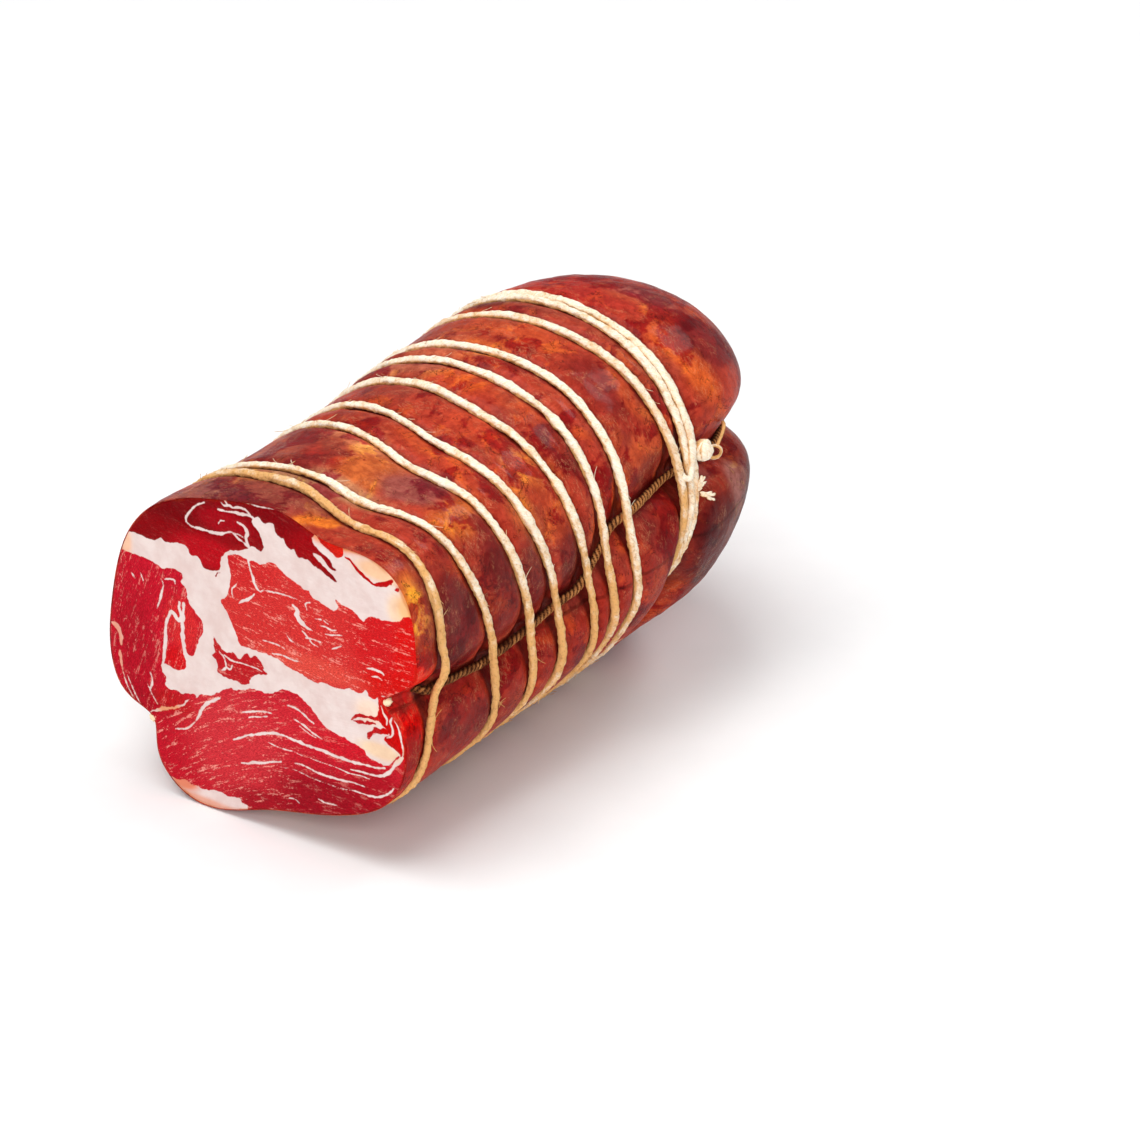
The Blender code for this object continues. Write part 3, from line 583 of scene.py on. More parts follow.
leanPatches = (  # right mm, up mm, half sizes mm, colour, strength
    (-30, 84, 14, 5, (112, 0, 6), 0.8), (2, 90, 12, 4, (124, 0, 8), 0.8),
    (-12, 83, 8, 3, (166, 4, 22), 0.8), (-18, 73, 10, 4, (196, 12, 28), 0.7),
    (14, 83, 6, 5, (160, 2, 12), 0.7), (-26, 50, 5, 7, (212, 44, 44), 0.8),
    (-28, 39, 4, 4, (210, 14, 20), 0.9), (-42, 40, 6, 14, (166, 8, 30), 0.6),
    (-38, 24, 8, 4, (158, 6, 28), 0.7), (36, 64, 9, 9, (206, 18, 26), 0.8),
    (45, 62, 5, 16, (216, 14, 12), 0.95), (38, 52, 8, 5, (208, 14, 10), 0.9),
    (14, 51, 14, 3, (224, 82, 68), 0.7), (-4, 72, 6, 5, (204, 36, 38), 0.6),
    (-30, 14, 9, 10, (190, 14, 36), 0.7), (-10, 22, 14, 14, (212, 60, 66), 0.6),
    (10, 34, 10, 5, (208, 44, 54), 0.6), (26, 31, 12, 3, (206, 22, 38), 0.7),
    (22, 14, 18, 7, (146, 8, 26), 0.85), (4, 7, 14, 4, (148, 8, 26), 0.7),
    (34, 22, 8, 6, (162, 8, 26), 0.7), (-30, 27, 6, 3, (184, 22, 26), 0.8),
)
fatPatches = (  # the same, on the fat
    (-44, 68, 2, 4, (244, 190, 150), 0.8), (45, 76, 4, 4, (240, 170, 80), 0.9),
    (41, 75, 3, 4, (246, 206, 160), 0.6), (-27, 5, 4, 2, (226, 110, 50), 0.8),
    (-23, 1, 16, 1.5, (222, 130, 80), 0.6), (-30, 24, 5, 2.5, (226, 140, 70), 0.8),
    (-48, 36, 3, 10, (222, 120, 70), 0.7), (36, 84, 7, 2.5, (240, 190, 140), 0.8),
    (22, 88, 8, 2, (230, 120, 50), 0.8), (35, 34, 6, 2, (240, 206, 160), 0.7),
    (32, 44, 4, 3, (248, 214, 184), 0.6), (12, 92, 6, 3, (236, 140, 40), 0.9),
)
cutFace = {
    "cells": 306, "back": 0.0022, "inset": 0.00030, "edge": 0.0003, "edgeTaper": 0.0001,
    "meanRadius": 0.045, "relief": 0.00016, "ragged": 0.45,  # the outlines wander by ragged mm
    "fat": (226, 209, 205), "brownedLean": (150, 50, 24), "brownedFat": (206, 120, 58),
    "brownedFrom": 46, "brownedWidth": 0.9,  # mm from the middle, mm
    "lowerTop": 42, "fewFlecksRight": 12,  # mm up and right: the lower muscle's flecks thin out
}


def nearestOnLine(x, y, line, closed=False):
    # Distance from each point to a line of short pieces, and how far along it the nearest place is
    a = line
    b = np.roll(line, -1, axis=0) if closed else line[1:]
    best = np.full(x.shape, 1e9)
    place = np.zeros(x.shape)
    for i, (start, end) in enumerate(zip(a, b)):
        step = end - start
        t = np.clip(((x - start[0]) * step[0] + (y - start[1]) * step[1])
                    / max(step @ step, 1e-9), 0, 1)
        d = (x - start[0] - t * step[0]) ** 2 + (y - start[1] - t * step[1]) ** 2
        closer = d < best
        best = np.where(closer, d, best)
        place = np.where(closer, i + t, place)
    return np.sqrt(best), place / len(b)


def insideDistance(x, y, outline):
    # Signed distance to a closed outline, positive inside: crossings to the right are counted
    line = smoothLine(outline, 3, closed=True)
    inside = np.zeros(x.shape, bool)
    for start, end in zip(line, np.roll(line, -1, axis=0)):
        spans = (start[1] > y) != (end[1] > y)
        rise = end[1] - start[1]
        rise = rise if abs(rise) > 1e-9 else 1e-9
        cross = start[0] + (y - start[1]) * (end[0] - start[0]) / rise
        inside ^= spans & (x < cross)
    distance = nearestOnLine(x, y, line, closed=True)[0]
    return np.where(inside, distance, -distance)


def strokes(x, y, lines):
    # Highest value of half width less distance over all the lines, each thinning to its ends
    best = np.full(x.shape, -9.0)
    for half, *points in lines:
        line = smoothLine(points, 4)
        low, high = line.min(axis=0) - 2.5, line.max(axis=0) + 2.5
        near = (x > low[0]) & (x < high[0]) & (y > low[1]) & (y < high[1])
        distance, place = nearestOnLine(x[near], y[near], line)
        taper = np.sin(np.pi * np.clip(place, 0.04, 0.96)) ** 0.6
        uneven = 1.0 + 0.45 * softNoise(x[near] / 1.3, y[near] / 1.3, 31)
        width = (half - 0.05) * (0.35 + 0.65 * taper) * uneven
        best[near] = np.maximum(best[near], width - distance)
    return best


def discGrid(cells):
    # A square grid drawn onto a disc: square rings become circles, with nearly even cells.
    # Gives the angle in degrees and the share of the radius.
    side = np.linspace(-1, 1, cells + 1)
    u, v = np.meshgrid(side, side)
    ring = np.maximum(np.abs(u), np.abs(v))
    safe = np.where(ring > 0, ring, 1.0)
    across = np.abs(u) >= np.abs(v)
    quarter, eighth = math.pi / 2, math.pi / 4
    sideways = np.where(u >= 0, 0.0, math.pi) + eighth * v / np.where(across, u + (u == 0), 1)
    upright = np.where(v >= 0, quarter, -quarter) - eighth * u / np.where(across, 1, v + (v == 0))
    return np.degrees(np.where(across, sideways, upright)), ring / safe * ring


def buildCutFace(material):
    # A slab just inside the casing's rim: its front is a disc grid scaled to the section, its edge
    # is turned back, and its back is closed to a centre point. The marbling is worked out at each
    # point: lean where the signed distance to the muscles' outlines is positive.
    c, s = cutFace, logShape
    angle, share = discGrid(c["cells"])
    outline = skin(angle, np.zeros(angle.shape), lift=-c["inset"])
    y = s["centreY"] + (outline[..., 1] - s["centreY"]) * share
    z = s["coreHeight"] + (outline[..., 2] - s["coreHeight"]) * share
    right, up = (s["centreY"] - y) / mm, z / mm
    wander = softNoise(right / 2.6, up / 2.6, 21), softNoise(right / 2.6 + 40, up / 2.6, 22)
    fine = softNoise(right / 0.8, up / 0.8, 23), softNoise(right / 0.8 + 31, up / 0.8, 24)
    raggedRight = right + c["ragged"] * (wander[0] + 0.45 * fine[0])
    raggedUp = up + c["ragged"] * (wander[1] + 0.45 * fine[1])
    lean = np.full(right.shape, -9.0)
    weight = np.full((*right.shape, 1), 1e-6)
    tint = weight * colour(*muscles[0][1])
    flecks, slope, bend = (np.zeros(right.shape) for _ in range(3))
    for outlinePoints, base, fleck, fibreSlope, fibreBend in muscles:
        inside = insideDistance(raggedRight, raggedUp, outlinePoints)
        own = ease((inside + 1.5) / 3.0)[..., None] + 1e-6
        tint, weight = tint + own * colour(*base), weight + own
        nearer = inside > lean
        flecks = np.where(nearer, fleck, flecks)
        slope = np.where(nearer, math.radians(fibreSlope), slope)
        bend = np.where(nearer, fibreBend, bend)
        lean = np.maximum(lean, inside)
    lean = np.maximum(lean, strokes(raggedRight, raggedUp, leanLines))
    calmRight, calmUp = (place + 0.3 * c["ragged"] * by for place, by in zip((right, up), wander))
    lean = np.minimum(lean, -strokes(calmRight, calmUp, fatLines))
    lean = np.minimum(lean, -insideDistance(raggedRight, raggedUp, bottomFat))
    tint = tint / weight
    fat = np.broadcast_to(colour(*c["fat"]), tint.shape).copy()
    for layer, patches in ((tint, leanPatches), (fat, fatPatches)):
        for atRight, atUp, halfRight, halfUp, patch, strength in patches:
            bell = np.exp(-((right - atRight) / halfRight) ** 2 - ((up - atUp) / halfUp) ** 2)
            layer += (strength * ease(1.6 * bell))[..., None] * (colour(*patch) - layer)
    # the rim of the cut has dried brown in places
    fromEdge = (1 - share) * c["brownedFrom"] + 0.35 * wander[0]
    browned = (0.75 * (1 - ease(fromEdge / c["brownedWidth"])) * ease(0.6 + wander[1]))[..., None]
    tint += 0.4 * browned * (colour(*c["brownedLean"]) - tint)
    fat += browned * (colour(*c["brownedFat"]) - fat)
    low = up < c["lowerTop"]
    grain = np.where((right < c["fewFlecksRight"]) & low, ease((14 - right) / 16), 0.0)
    flecks = flecks * np.where(low, 0.35 + 0.65 * grain, 1.0)
    alongFibre = right * np.cos(slope) + up * np.sin(slope)
    acrossFibre = -right * np.sin(slope) + up * np.cos(slope) - bend * (right - 8) ** 2
    fibre = np.stack([alongFibre, acrossFibre, slope * 10], axis=-1)
    x = s["cutX"] + c["relief"] * (0.6 * wander[0] + 0.3 * fine[0] - ease(lean / 0.8) + 0.5)
    front = np.stack([x, y, z], axis=-1)
    n = c["cells"] + 1
    index = np.arange(n * n).reshape(n, n)
    rimLoop = np.concatenate([index[0, :-1], index[:-1, -1], index[-1, :0:-1], index[:0:-1, 0]])
    flat = front.reshape(-1, 3)
    edges = []
    for inward, back in ((0.0, c["edge"]), (c["edgeTaper"], c["back"])):
        ring = flat[rimLoop].copy()
        ring[:, 0] = s["cutX"] + back
        ring[:, 1:] -= (ring[:, 1:] - np.array((s["centreY"], s["coreHeight"]))) \
            * inward / c["meanRadius"]
        edges.append(ring)
    # the very edge of the front is a rounded arris
    flat[rimLoop, 0] = s["cutX"] + 0.35 * c["edge"]
    count = len(rimLoop)
    quads, _ = gridQuads(n, n)
    start = n * n
    here = np.arange(count)
    there = (here + 1) % count
    arris = np.stack([rimLoop, start + here, start + there, rimLoop[there]], axis=-1)
    behind = start + count
    wall = np.stack([start + here, behind + here, behind + there, start + there], axis=-1)
    fan = np.stack([np.full(count, behind + count), behind + there, behind + here], axis=1).tolist()
    middle = [[s["cutX"] + c["back"], s["centreY"], s["coreHeight"]]]
    points = np.concatenate([flat, *edges, middle])

    def spread(values):
        # Values on the front, carried round the edge and over the back
        v = values.reshape(n * n, -1)
        v = np.concatenate([v, v[rimLoop], v[rimLoop], v[:1]])
        return v[:, 0] if v.shape[1] == 1 else v

    one = np.ones((*right.shape, 1))
    makePiece("cutFace", points, [f for part in (quads, arris, wall) for f in part.tolist()] + fan,
              [material], attributes={
                  "lean": spread(lean), "flecks": spread(flecks), "fibre": spread(fibre),
                  "leanTint": spread(np.concatenate([tint, one], axis=-1)),
                  "fatTint": spread(np.concatenate([fat, one], axis=-1))})


ropeShape = {"plies": 3, "lobePower": 0.75, "twistSwing": 0.5,  # radians
             "roughness": 0.8, "lowest": 0.00002}  # shares of wobble; m above the floor


def ropeSurface(path, outward, settings, closed, seed, swell):
    # A three-ply rope along a path: its radius dips between the plies as |cos 1.5(a - twist)|, the
    # twist grows along the path, and noise makes it uneven and lets it wander. Rows are evenly
    # spaced. swell gives extra radius at the centre line's points. Nothing dips into the floor.
    step = np.diff(path, axis=0, append=path[:1] if closed else path[-1:])
    length = np.concatenate([[0], np.cumsum(np.linalg.norm(step[:None if closed else -1], axis=1))])
    source = np.concatenate([path, path[:1]]) if closed else path
    sourceOut = np.concatenate([outward, outward[:1]]) if closed else outward
    rows = max(8, int(round(length[-1] / settings["rowLength"])))
    places = np.linspace(0, length[-1], rows, endpoint=not closed)
    centre = np.stack([np.interp(places, length, source[:, i]) for i in range(3)], axis=-1)
    up = np.stack([np.interp(places, length, sourceOut[:, i]) for i in range(3)], axis=-1)
    kernel = np.ones(5) / 5
    for values in (centre, up):
        for i in range(3):
            padded = np.pad(values[:, i], 2, mode="wrap" if closed else "reflect")
            smooth = np.convolve(padded, kernel, mode="valid")
            values[:, i] = smooth if closed else np.where(
                (np.arange(rows) > 1) & (np.arange(rows) < rows - 2), smooth, values[:, i])
    if closed:
        tangent = np.roll(centre, -1, axis=0) - np.roll(centre, 1, axis=0)
    else:
        tangent = np.gradient(centre, axis=0)
    tangent /= np.linalg.norm(tangent, axis=1, keepdims=True)
    up = up - tangent * (up * tangent).sum(axis=1, keepdims=True)
    up /= np.linalg.norm(up, axis=1, keepdims=True)
    across = np.cross(tangent, up)
    sides = settings["sides"]
    around = (np.arange(sides) / sides * 2 * np.pi - np.pi / 2)[None, :]
    turns = length[-1] / settings["pitch"]
    turns = max(1, round(turns)) if closed else turns
    twist = (2 * np.pi * turns * places / length[-1])[:, None]
    swing = np.sin(2 * np.pi * np.round(turns / 5) * places / length[-1] + seed)[:, None]
    twist = twist + ropeShape["twistSwing"] * swing
    lobes = np.abs(np.cos(ropeShape["plies"] / 2 * (around - twist))) ** ropeShape["lobePower"]
    # uneven changes every six rows, rough three times faster, slow and bend over longer stretches
    wrap = max(3, int(round(rows / 6)))
    row = np.arange(rows)[:, None]
    uneven = softNoise(row * wrap / rows, around * 1.3 + 9, seed, wrap)
    rough = softNoise(row * (wrap * 3) / rows, around * 3.2 + 4, seed + 2, wrap * 3)
    slow = softNoise(row * max(3, wrap // 5) / rows, 0.0 * row, seed + 1, max(3, wrap // 5))
    bend = softNoise(row * max(3, wrap // 3) / rows, 0.0 * row + 5, seed + 4, max(3, wrap // 3))
    centre = centre + across * settings["wander"] * bend
    wobble = settings["wobble"] * (uneven + ropeShape["roughness"] * rough + slow)
    radius = settings["radius"] * (1 - settings["plyDepth"] + settings["plyDepth"] * lobes) \
        + wobble + swell(centre)[:, None]
    points = centre[:, None, :] + across[:, None, :] * (radius * np.cos(around))[..., None] \
        + up[:, None, :] * (radius * np.sin(around))[..., None]
    points[..., 2] = np.maximum(points[..., 2], ropeShape["lowest"])
    return points, centre, places, turns, lobes, np.broadcast_to(np.sin(around), radius.shape)


def evenly(amount):
    # The same amount at every place of a rope
    return lambda centre: np.full(len(centre), amount)


def ropeArrays(path, outward, settings, closed, seed, soaking, swell=evenly(0.0)):
    # One rope as arrays: its UV runs along the rope, and round it with the plies. An open rope is
    # closed by a tip at each end.
    points, centre, places, turns, lobes, top = ropeSurface(
        path, outward, settings, closed, seed, swell)
    rows, sides = points.shape[:2]
    quads, cells = gridQuads(rows, sides, closeColumns=True, closeRows=closed)
    reach = (places[-1] + places[1]) if closed else places[-1]
    spans = rows if closed else rows - 1
    u = cells[..., 0] / spans * reach / mm
    v = cells[..., 1] / sides - turns * cells[..., 0] / spans
    uv = np.stack([u, v], axis=-1)[:, ::-1].reshape(-1, 2)
    points, ply, top = points.reshape(-1, 3), lobes.ravel(), top.ravel()
    soak = np.repeat(soaking(centre), sides)
    caps = np.zeros((0, 3), int)
    if not closed:
        ends = np.stack([centre[0] * 1.6 - centre[2] * 0.6, centre[-1] * 1.6 - centre[-3] * 0.6])
        ends[:, 2] = np.maximum(ends[:, 2], 0.0)
        points = np.concatenate([points, ends])
        here, tip = np.arange(sides), np.full(sides, rows * sides)
        there, last = (here + 1) % sides, (rows - 1) * sides
        caps = np.concatenate([np.stack([tip, here, there], axis=1),
                               np.stack([tip + 1, last + there, last + here], axis=1)])
        ply, top = np.append(ply, [0.5, 0.5]), np.append(top, [0.0, 0.0])
        soak = np.append(soak, [soak[0], soak[-1]])
    return {"points": points, "quads": quads[:, ::-1], "caps": caps, "uv": uv,
            "ply": ply, "top": top, "soak": soak}


def buildRopes(name, ropes, material, replaced):
    # Joins ropes into one piece: all the quads come first, then the end caps
    starts = np.cumsum([0] + [len(rope["points"]) for rope in ropes])
    faces = [f for key in ("quads", "caps") for rope, start in zip(ropes, starts)
             for f in (rope[key] + start).tolist()]
    joined = {key: np.concatenate([rope[key] for rope in ropes])
              for key in ("points", "uv", "ply", "top", "soak")}
    makePiece(name, joined["points"], faces, [material], replaced, uv=joined["uv"],
              attributes={key: joined[key] for key in ("ply", "top", "soak")})


def loopPath(name, count=720):
    # A loop's centre line: the skin at its own station, taut over the creases, lifted by its radius
    angle = np.arange(count) * 360.0 / count - 90.0
    station = loopStation(name, angle)
    path = skin(angle, station, loopSettings["creaseDip"], 1.0, False)
    outward = skinNormal(angle, station, loopSettings["creaseDip"])
    path = path + outward * (loopSettings["radius"] + loopSettings["gap"] - loopSettings["sink"])
    path[:, 2] = np.maximum(path[:, 2], loopSettings["radius"] + loopSettings["floorGap"])
    return path, outward


loopSoak = {  # stain all along a loop, and extra stain low on the right side
    "twine_loop_1": (0.70, 0.35), "twine_loop_2": (0.20, 0.75), "twine_loop_3": (0.15, 0.65),
    "twine_loop_4": (0.10, 0.60), "twine_loop_5": (0.20, 0.65), "twine_loop_6": (0.10, 0.60),
    "twine_loop_7": (0.10, 0.35), "twine_loop_8": (0.25, 0.60), "twine_loop_9a": (0.15, 0.20),
    "twine_loop_9b": (0.20, 0.25)}
loopSwells = {  # hitches, full and thin places: angle, half width in degrees, extra radius in mm
    "twine_loop_4": ((37.5, 2.4, 0.55),), "twine_loop_5": ((53.5, 1.6, 0.30), (40.5, 2.4, 0.55)),
    "twine_loop_6": ((56.5, 2.2, 0.50),), "twine_loop_8": ((-20, 30, -0.25),),
    "twine_loop_9a": ((48, 24, 0.22), (-20, 30, -0.30)),
    "twine_loop_9b": ((48, 24, 0.22), (-20, 30, -0.30))}


def soakAlong(name, centre):
    # Stain along a loop: its own amount, and more as it goes down the right side
    (top, fade), (side, sideFade) = loopSettings["soakBelow"], loopSettings["soakSide"]
    low = ease((top - centre[:, 2]) / fade) * ease((side - centre[:, 1]) / sideFade)
    return loopSoak[name][0] + loopSoak[name][1] * low


def swellAlong(name, centre):
    # Extra radius: bells at the hitches, by the angle round the log's core
    angle = np.degrees(np.arctan2(centre[:, 2] - logShape["coreHeight"],
                                  logShape["centreY"] - centre[:, 1]))
    extra = 0.0 * angle
    for place, width, height in loopSwells.get(name, ()):
        extra = extra + height * mm * hump(angleBetween(angle, place), width)
    return extra


looseFibres = {"count": 34, "length": (0.8, 2.8), "rise": 0.55, "spread": 0.8,  # mm, shares of it
               "lowest": 0.0002, "radius": 0.00007, "pitch": 0.0030, "sides": 4,
               "rowLength": 0.00040, "plyDepth": 0.0, "wobble": 0.00002, "wander": 0.0}


def looseRopes(path, outward, seed, soaking):
    # Fibres standing off a loop: each runs along the twine and bends out of it as t to the 1.6
    f = looseFibres
    draw = np.random.default_rng(seed)
    t = np.linspace(0, 1, 9)[:, None]
    fibres = []
    for place in draw.integers(0, len(path), f["count"]):
        ahead = path[(place + 2) % len(path)] - path[place]
        ahead = ahead / np.linalg.norm(ahead) * draw.choice((-1.0, 1.0))
        across = np.cross(ahead, outward[place]) * draw.uniform(-1, 1)
        reach = draw.uniform(*f["length"]) * mm
        start = path[place] + loopSettings["radius"] * (0.75 * outward[place] + 0.6 * across)
        bent = f["rise"] * draw.uniform(0.1, 1.0) * outward[place] + f["spread"] * across
        fibre = start + reach * (ahead * t + bent * t ** 1.6)
        fibre[:, 2] = np.maximum(fibre[:, 2], f["lowest"])
        fibres.append(ropeArrays(fibre, np.broadcast_to(outward[place], fibre.shape), f, False,
                                 seed + 100 + place, soaking))
    return fibres


lengthwise = {"radius": 0.0011, "lift": 0.0001, "start": 0.0004, "to": 0.127, "overTo": 0.10,
              "hidden": 0.0026, "hiddenFrom": 0.0022, "hiddenTo": 0.0080, "hiddenFade": 0.0035,
              "soak": 0.55, "paleTip": (1.2, 0.0030),  # less by, over this length
              "paler": (0.45, 0.03, 0.06),  # less by, from, fade
              "pitch": 0.0046, "wander": 0.0001, "sides": 20, "rowLength": 0.00040,
              "plyDepth": 0.34, "wobble": 0.00012}
knot = {"station": 125.2, "angle": 25.2, "dip": 0.6,  # mm and degrees on the skin
        "ball": (1.85, 4.0), "ballHeight": 2.8,  # mm from its middle, turns; mm above the skin
        "bowCentre": (130.8, 21.4, 2.6), "bowRadius": 1.8, "bowFacing": (0.70, -0.71, 0.0),
        # tails: station and angle where each starts and where it ends; first height and rise
        "tails": ((119.4, 13.0, 121.6, 14.4), (119.4, 11.6, 121.4, 9.8)), "tailHeight": (1.4, 1.5),
        # hook, lead and onwards: station, angle, mm above the skin
        "hook": ((120.6, 30.0, 2.4), (119.6, 24.0, 3.4), (118.6, 19.0, 3.6), (117.0, 16.6, 3.5),
                 (115.6, 18.6, 3.1), (116.0, 24.0, 2.0)),
        "lead": ((125.7, 24.4, 2.6), (127.0, 22.6, 2.6)),  # from the ball to the bow
        "onwards": ((131.2, 23.8, 2.9), (133.4, 26.0, 2.3), (135.8, 26.6, 1.2),
                    (138.0, 26.0, -0.4)),
        "bowTurn": (195, 320),  # first angle and sweep in degrees
        "strands": 5, "strandSpread": (0.7, 0.9, 0.4),  # mm along, degrees, mm up
        "soak": {"hook": 0.0, "ball": -0.15, "bow": 0.55, "onwards": 0.9, "tails": 0.2},
        "rope": {"radius": 0.00095, "pitch": 0.0040, "sides": 16, "rowLength": 0.00028,
                 "plyDepth": 0.20, "wobble": 0.00014, "wander": 0.0},
        "thin": {"radius": 0.00050, "pitch": 0.0030, "sides": 12, "rowLength": 0.00024,
                 "plyDepth": 0.22, "wobble": 0.00007, "wander": 0.0},
        "strand": {"radius": 0.00034, "pitch": 0.0030, "sides": 8, "rowLength": 0.00030,
                   "plyDepth": 0.10, "wobble": 0.00012, "wander": 0.0003}}


def lengthwisePath():
    # From the cut along the floor of the right crease, over the cleft, and back along the left one.
    # Just behind the cut it runs inside the meat, and comes out again under the first loop.
    s, c = logShape, lengthwise
    side = np.linspace(c["start"], c["to"], 260)
    domeLength = s["length"] - s["domeStart"]
    turnStart = math.asin(((c["to"] - s["domeStart"]) / domeLength) ** (s["domePower"] / 2))
    turns = np.linspace(turnStart, math.acos(c["overTo"]), 40)[1:]
    over = s["domeStart"] + domeLength * np.sin(turns) ** (2.0 / s["domePower"])
    stations = np.concatenate([side, over])
    buried = c["hidden"] * (ease(stations / c["hiddenFrom"])
                            - ease((stations - c["hiddenTo"]) / c["hiddenFade"]))
    halves, normals = [], []
    for crease in (s["rightCrease"], s["leftCrease"]):
        angle = along(crease[0], stations)
        normal = skinNormal(angle, stations, 1.0)
        halves.append(skin(angle, stations, 1.0, 0.0, False)
                      + normal * (c["radius"] + c["lift"] - buried)[:, None])
        normals.append(normal)
    return (np.concatenate([halves[0], halves[1][::-1]]),
            np.concatenate([normals[0], normals[1][::-1]]))


def soakLengthwise(centre):
    # Pale at its cut end, darkest under the first loops, browner further on
    station = centre[:, 0] - logShape["cutX"]
    (tipLess, tipLength), (less, start, fade) = lengthwise["paleTip"], lengthwise["paler"]
    return (lengthwise["soak"] - tipLess * (1 - ease(station / tipLength))
            - less * ease((station - start) / fade))


def overSkin(places):
    # Points given as station mm, angle and mm above the skin, part way into the crease
    station, angle, lift = np.array(places, float).T
    normal = skinNormal(angle, station * mm, knot["dip"])
    return skin(angle, station * mm, knot["dip"], 0.0, False) + normal * lift[:, None] * mm, normal


def knotRopes():
    # A ball wound as circles whose plane turns half way round, an open bow beside it, and two
    # short tails whose strands spread towards their tips
    k = knot
    perDegree = math.radians(1.0) * logShape["roundRadius"][-1] / mm
    radius, turns = k["ball"]
    t = np.linspace(0, 1, 150)
    turn, plane = 2 * np.pi * turns * t, np.pi * t
    ball = np.stack([k["station"] + radius * np.cos(turn) * np.cos(plane),
                     k["angle"] + radius * np.sin(turn) / perDegree,
                     k["ballHeight"] + radius * np.cos(turn) * np.sin(plane)], axis=-1)
    # the bow stands up from the skin, facing sideways, and a thin end runs on into the cleft
    middle = overSkin([k["bowCentre"]])[0][0]
    sideways, upwards = np.array(k["bowFacing"]), np.array([0.0, 0.0, 1.0])
    turnFrom, turnBy = k["bowTurn"]
    around = np.radians(turnFrom + turnBy * np.linspace(0, 1, 60))[:, None]
    outward = np.cos(around) * sideways + np.sin(around) * upwards
    ring = middle + k["bowRadius"] * mm * outward
    lead = overSkin(smoothLine(k["lead"], 8))[0]
    bow = np.concatenate([lead, ring])
    bowOut = np.concatenate([np.broadcast_to(-outward[0], lead.shape), outward])
    onwards = overSkin(smoothLine(k["onwards"], 12))
    soak = k["soak"]
    ropes = [ropeArrays(*overSkin(ball), k["rope"], False, 50, evenly(soak["ball"])),
             ropeArrays(bow, bowOut, k["thin"], False, 52, evenly(soak["bow"])),
             ropeArrays(*onwards, k["thin"], False, 53, evenly(soak["onwards"]))]
    share = np.linspace(0, 1, 24)
    fan = 0.25 + 0.75 * share ** 2
    height = k["tailHeight"][0] + k["tailHeight"][1] * share * (1 - 0.3 * share)
    alongBy, aroundBy, upBy = k["strandSpread"]
    for number, (fromStation, fromAngle, toStation, toAngle) in enumerate(k["tails"]):
        for strand in range(k["strands"]):
            turn = 1.26 * strand  # a fifth of a turn
            station = fromStation + (toStation - fromStation) * share
            angle = fromAngle + (toAngle - fromAngle) * share
            places = np.stack([station + alongBy * math.cos(turn) * fan,
                               angle + aroundBy * math.sin(turn) * fan,
                               height + upBy * math.cos(turn) * fan], axis=-1)
            ropes.append(ropeArrays(*overSkin(places), k["strand"], False, 60 + 7 * number + strand,
                                    evenly(soak["tails"])))
    return ropes


def makeGroup(name, inputs, outputs):
    # A node group with named sockets; gives its tree, its input values and its output sockets
    tree = bpy.data.node_groups.new(name, "ShaderNodeTree")
    for label, kind in inputs:
        tree.interface.new_socket(label, in_out="INPUT", socket_type="NodeSocket" + kind)
    for label, kind in outputs:
        tree.interface.new_socket(label, in_out="OUTPUT", socket_type="NodeSocket" + kind)
    return tree, tree.nodes.new("NodeGroupInput").outputs, tree.nodes.new("NodeGroupOutput").inputs


def placeGroup(tree, group, **inputs):
    # The group's node in a material, with values or links on its named inputs
    node = tree.nodes.new("ShaderNodeGroup")
    node.node_tree = group
    for label, value in inputs.items():
        if isinstance(value, bpy.types.NodeSocket):
            tree.links.new(value, node.inputs[label])
        elif node.inputs[label].type == "RGBA":
            node.inputs[label].default_value = (*value, 1.0)
        else:
            node.inputs[label].default_value = value
    return node.outputs


def grainGroup():
    # Cloudy noise, stretched differently along each direction
    tree, given, result = makeGroup("stretchedGrain", (
        ("Vector", "Vector"), ("Stretch", "Vector"), ("Detail", "Float"), ("Roughness", "Float"),
        ("Distortion", "Float")), (("Grain", "Float"),))
    stretched = addNode(tree, "VectorMath", {0: given["Vector"], 1: given["Stretch"]},
                        operation="MULTIPLY").outputs[0]
    tree.links.new(noiseNode(tree, stretched, 1.0, given["Detail"], given["Roughness"],
                             given["Distortion"]), result["Grain"])
    return tree


def mottleGroup():
    # A colour multiplied by Dark where Level is below Low, by Light above High, eased between
    tree, given, result = makeGroup("mottledTint", (
        ("Base", "Color"), ("Level", "Float"), ("Low", "Float"), ("High", "Float"),
        ("Dark", "Color"), ("Light", "Color")), (("Colour", "Color"),))
    mask = remap(tree, given["Level"], given["Low"], given["High"])
    shade = blendColours(tree, mask, given["Dark"], given["Light"])
    tree.links.new(blendColours(tree, 1.0, given["Base"], shade, "MULTIPLY"), result["Colour"])
    return tree


def stainGroup():
    # A second colour laid over the first where Level climbs from Low to High, up to Amount
    tree, given, result = makeGroup("stainOver", (
        ("Base", "Color"), ("Stain", "Color"), ("Level", "Float"), ("Low", "Float"),
        ("High", "Float"), ("Amount", "Float")), (("Colour", "Color"),))
    mask = remap(tree, given["Level"], given["Low"], given["High"])
    mask = maths(tree, "MULTIPLY", mask, given["Amount"])
    tree.links.new(blendColours(tree, mask, given["Base"], given["Stain"]), result["Colour"])
    return tree


def reliefGroup():
    # Bumps from a coarse and a fine height, Share of them fine
    tree, given, result = makeGroup("fineRelief", (
        ("Coarse", "Float"), ("Fine", "Float"), ("Share", "Float"), ("Strength", "Float"),
        ("Distance", "Float")), (("Normal", "Vector"),))
    height = addNode(tree, "Mix", {0: given["Share"], 2: given["Coarse"], 3: given["Fine"]},
                     data_type="FLOAT").outputs[0]
    bump = addNode(tree, "Bump", {"Height": height, "Strength": given["Strength"],
                                  "Distance": given["Distance"]})
    tree.links.new(bump.outputs[0], result["Normal"])
    return tree


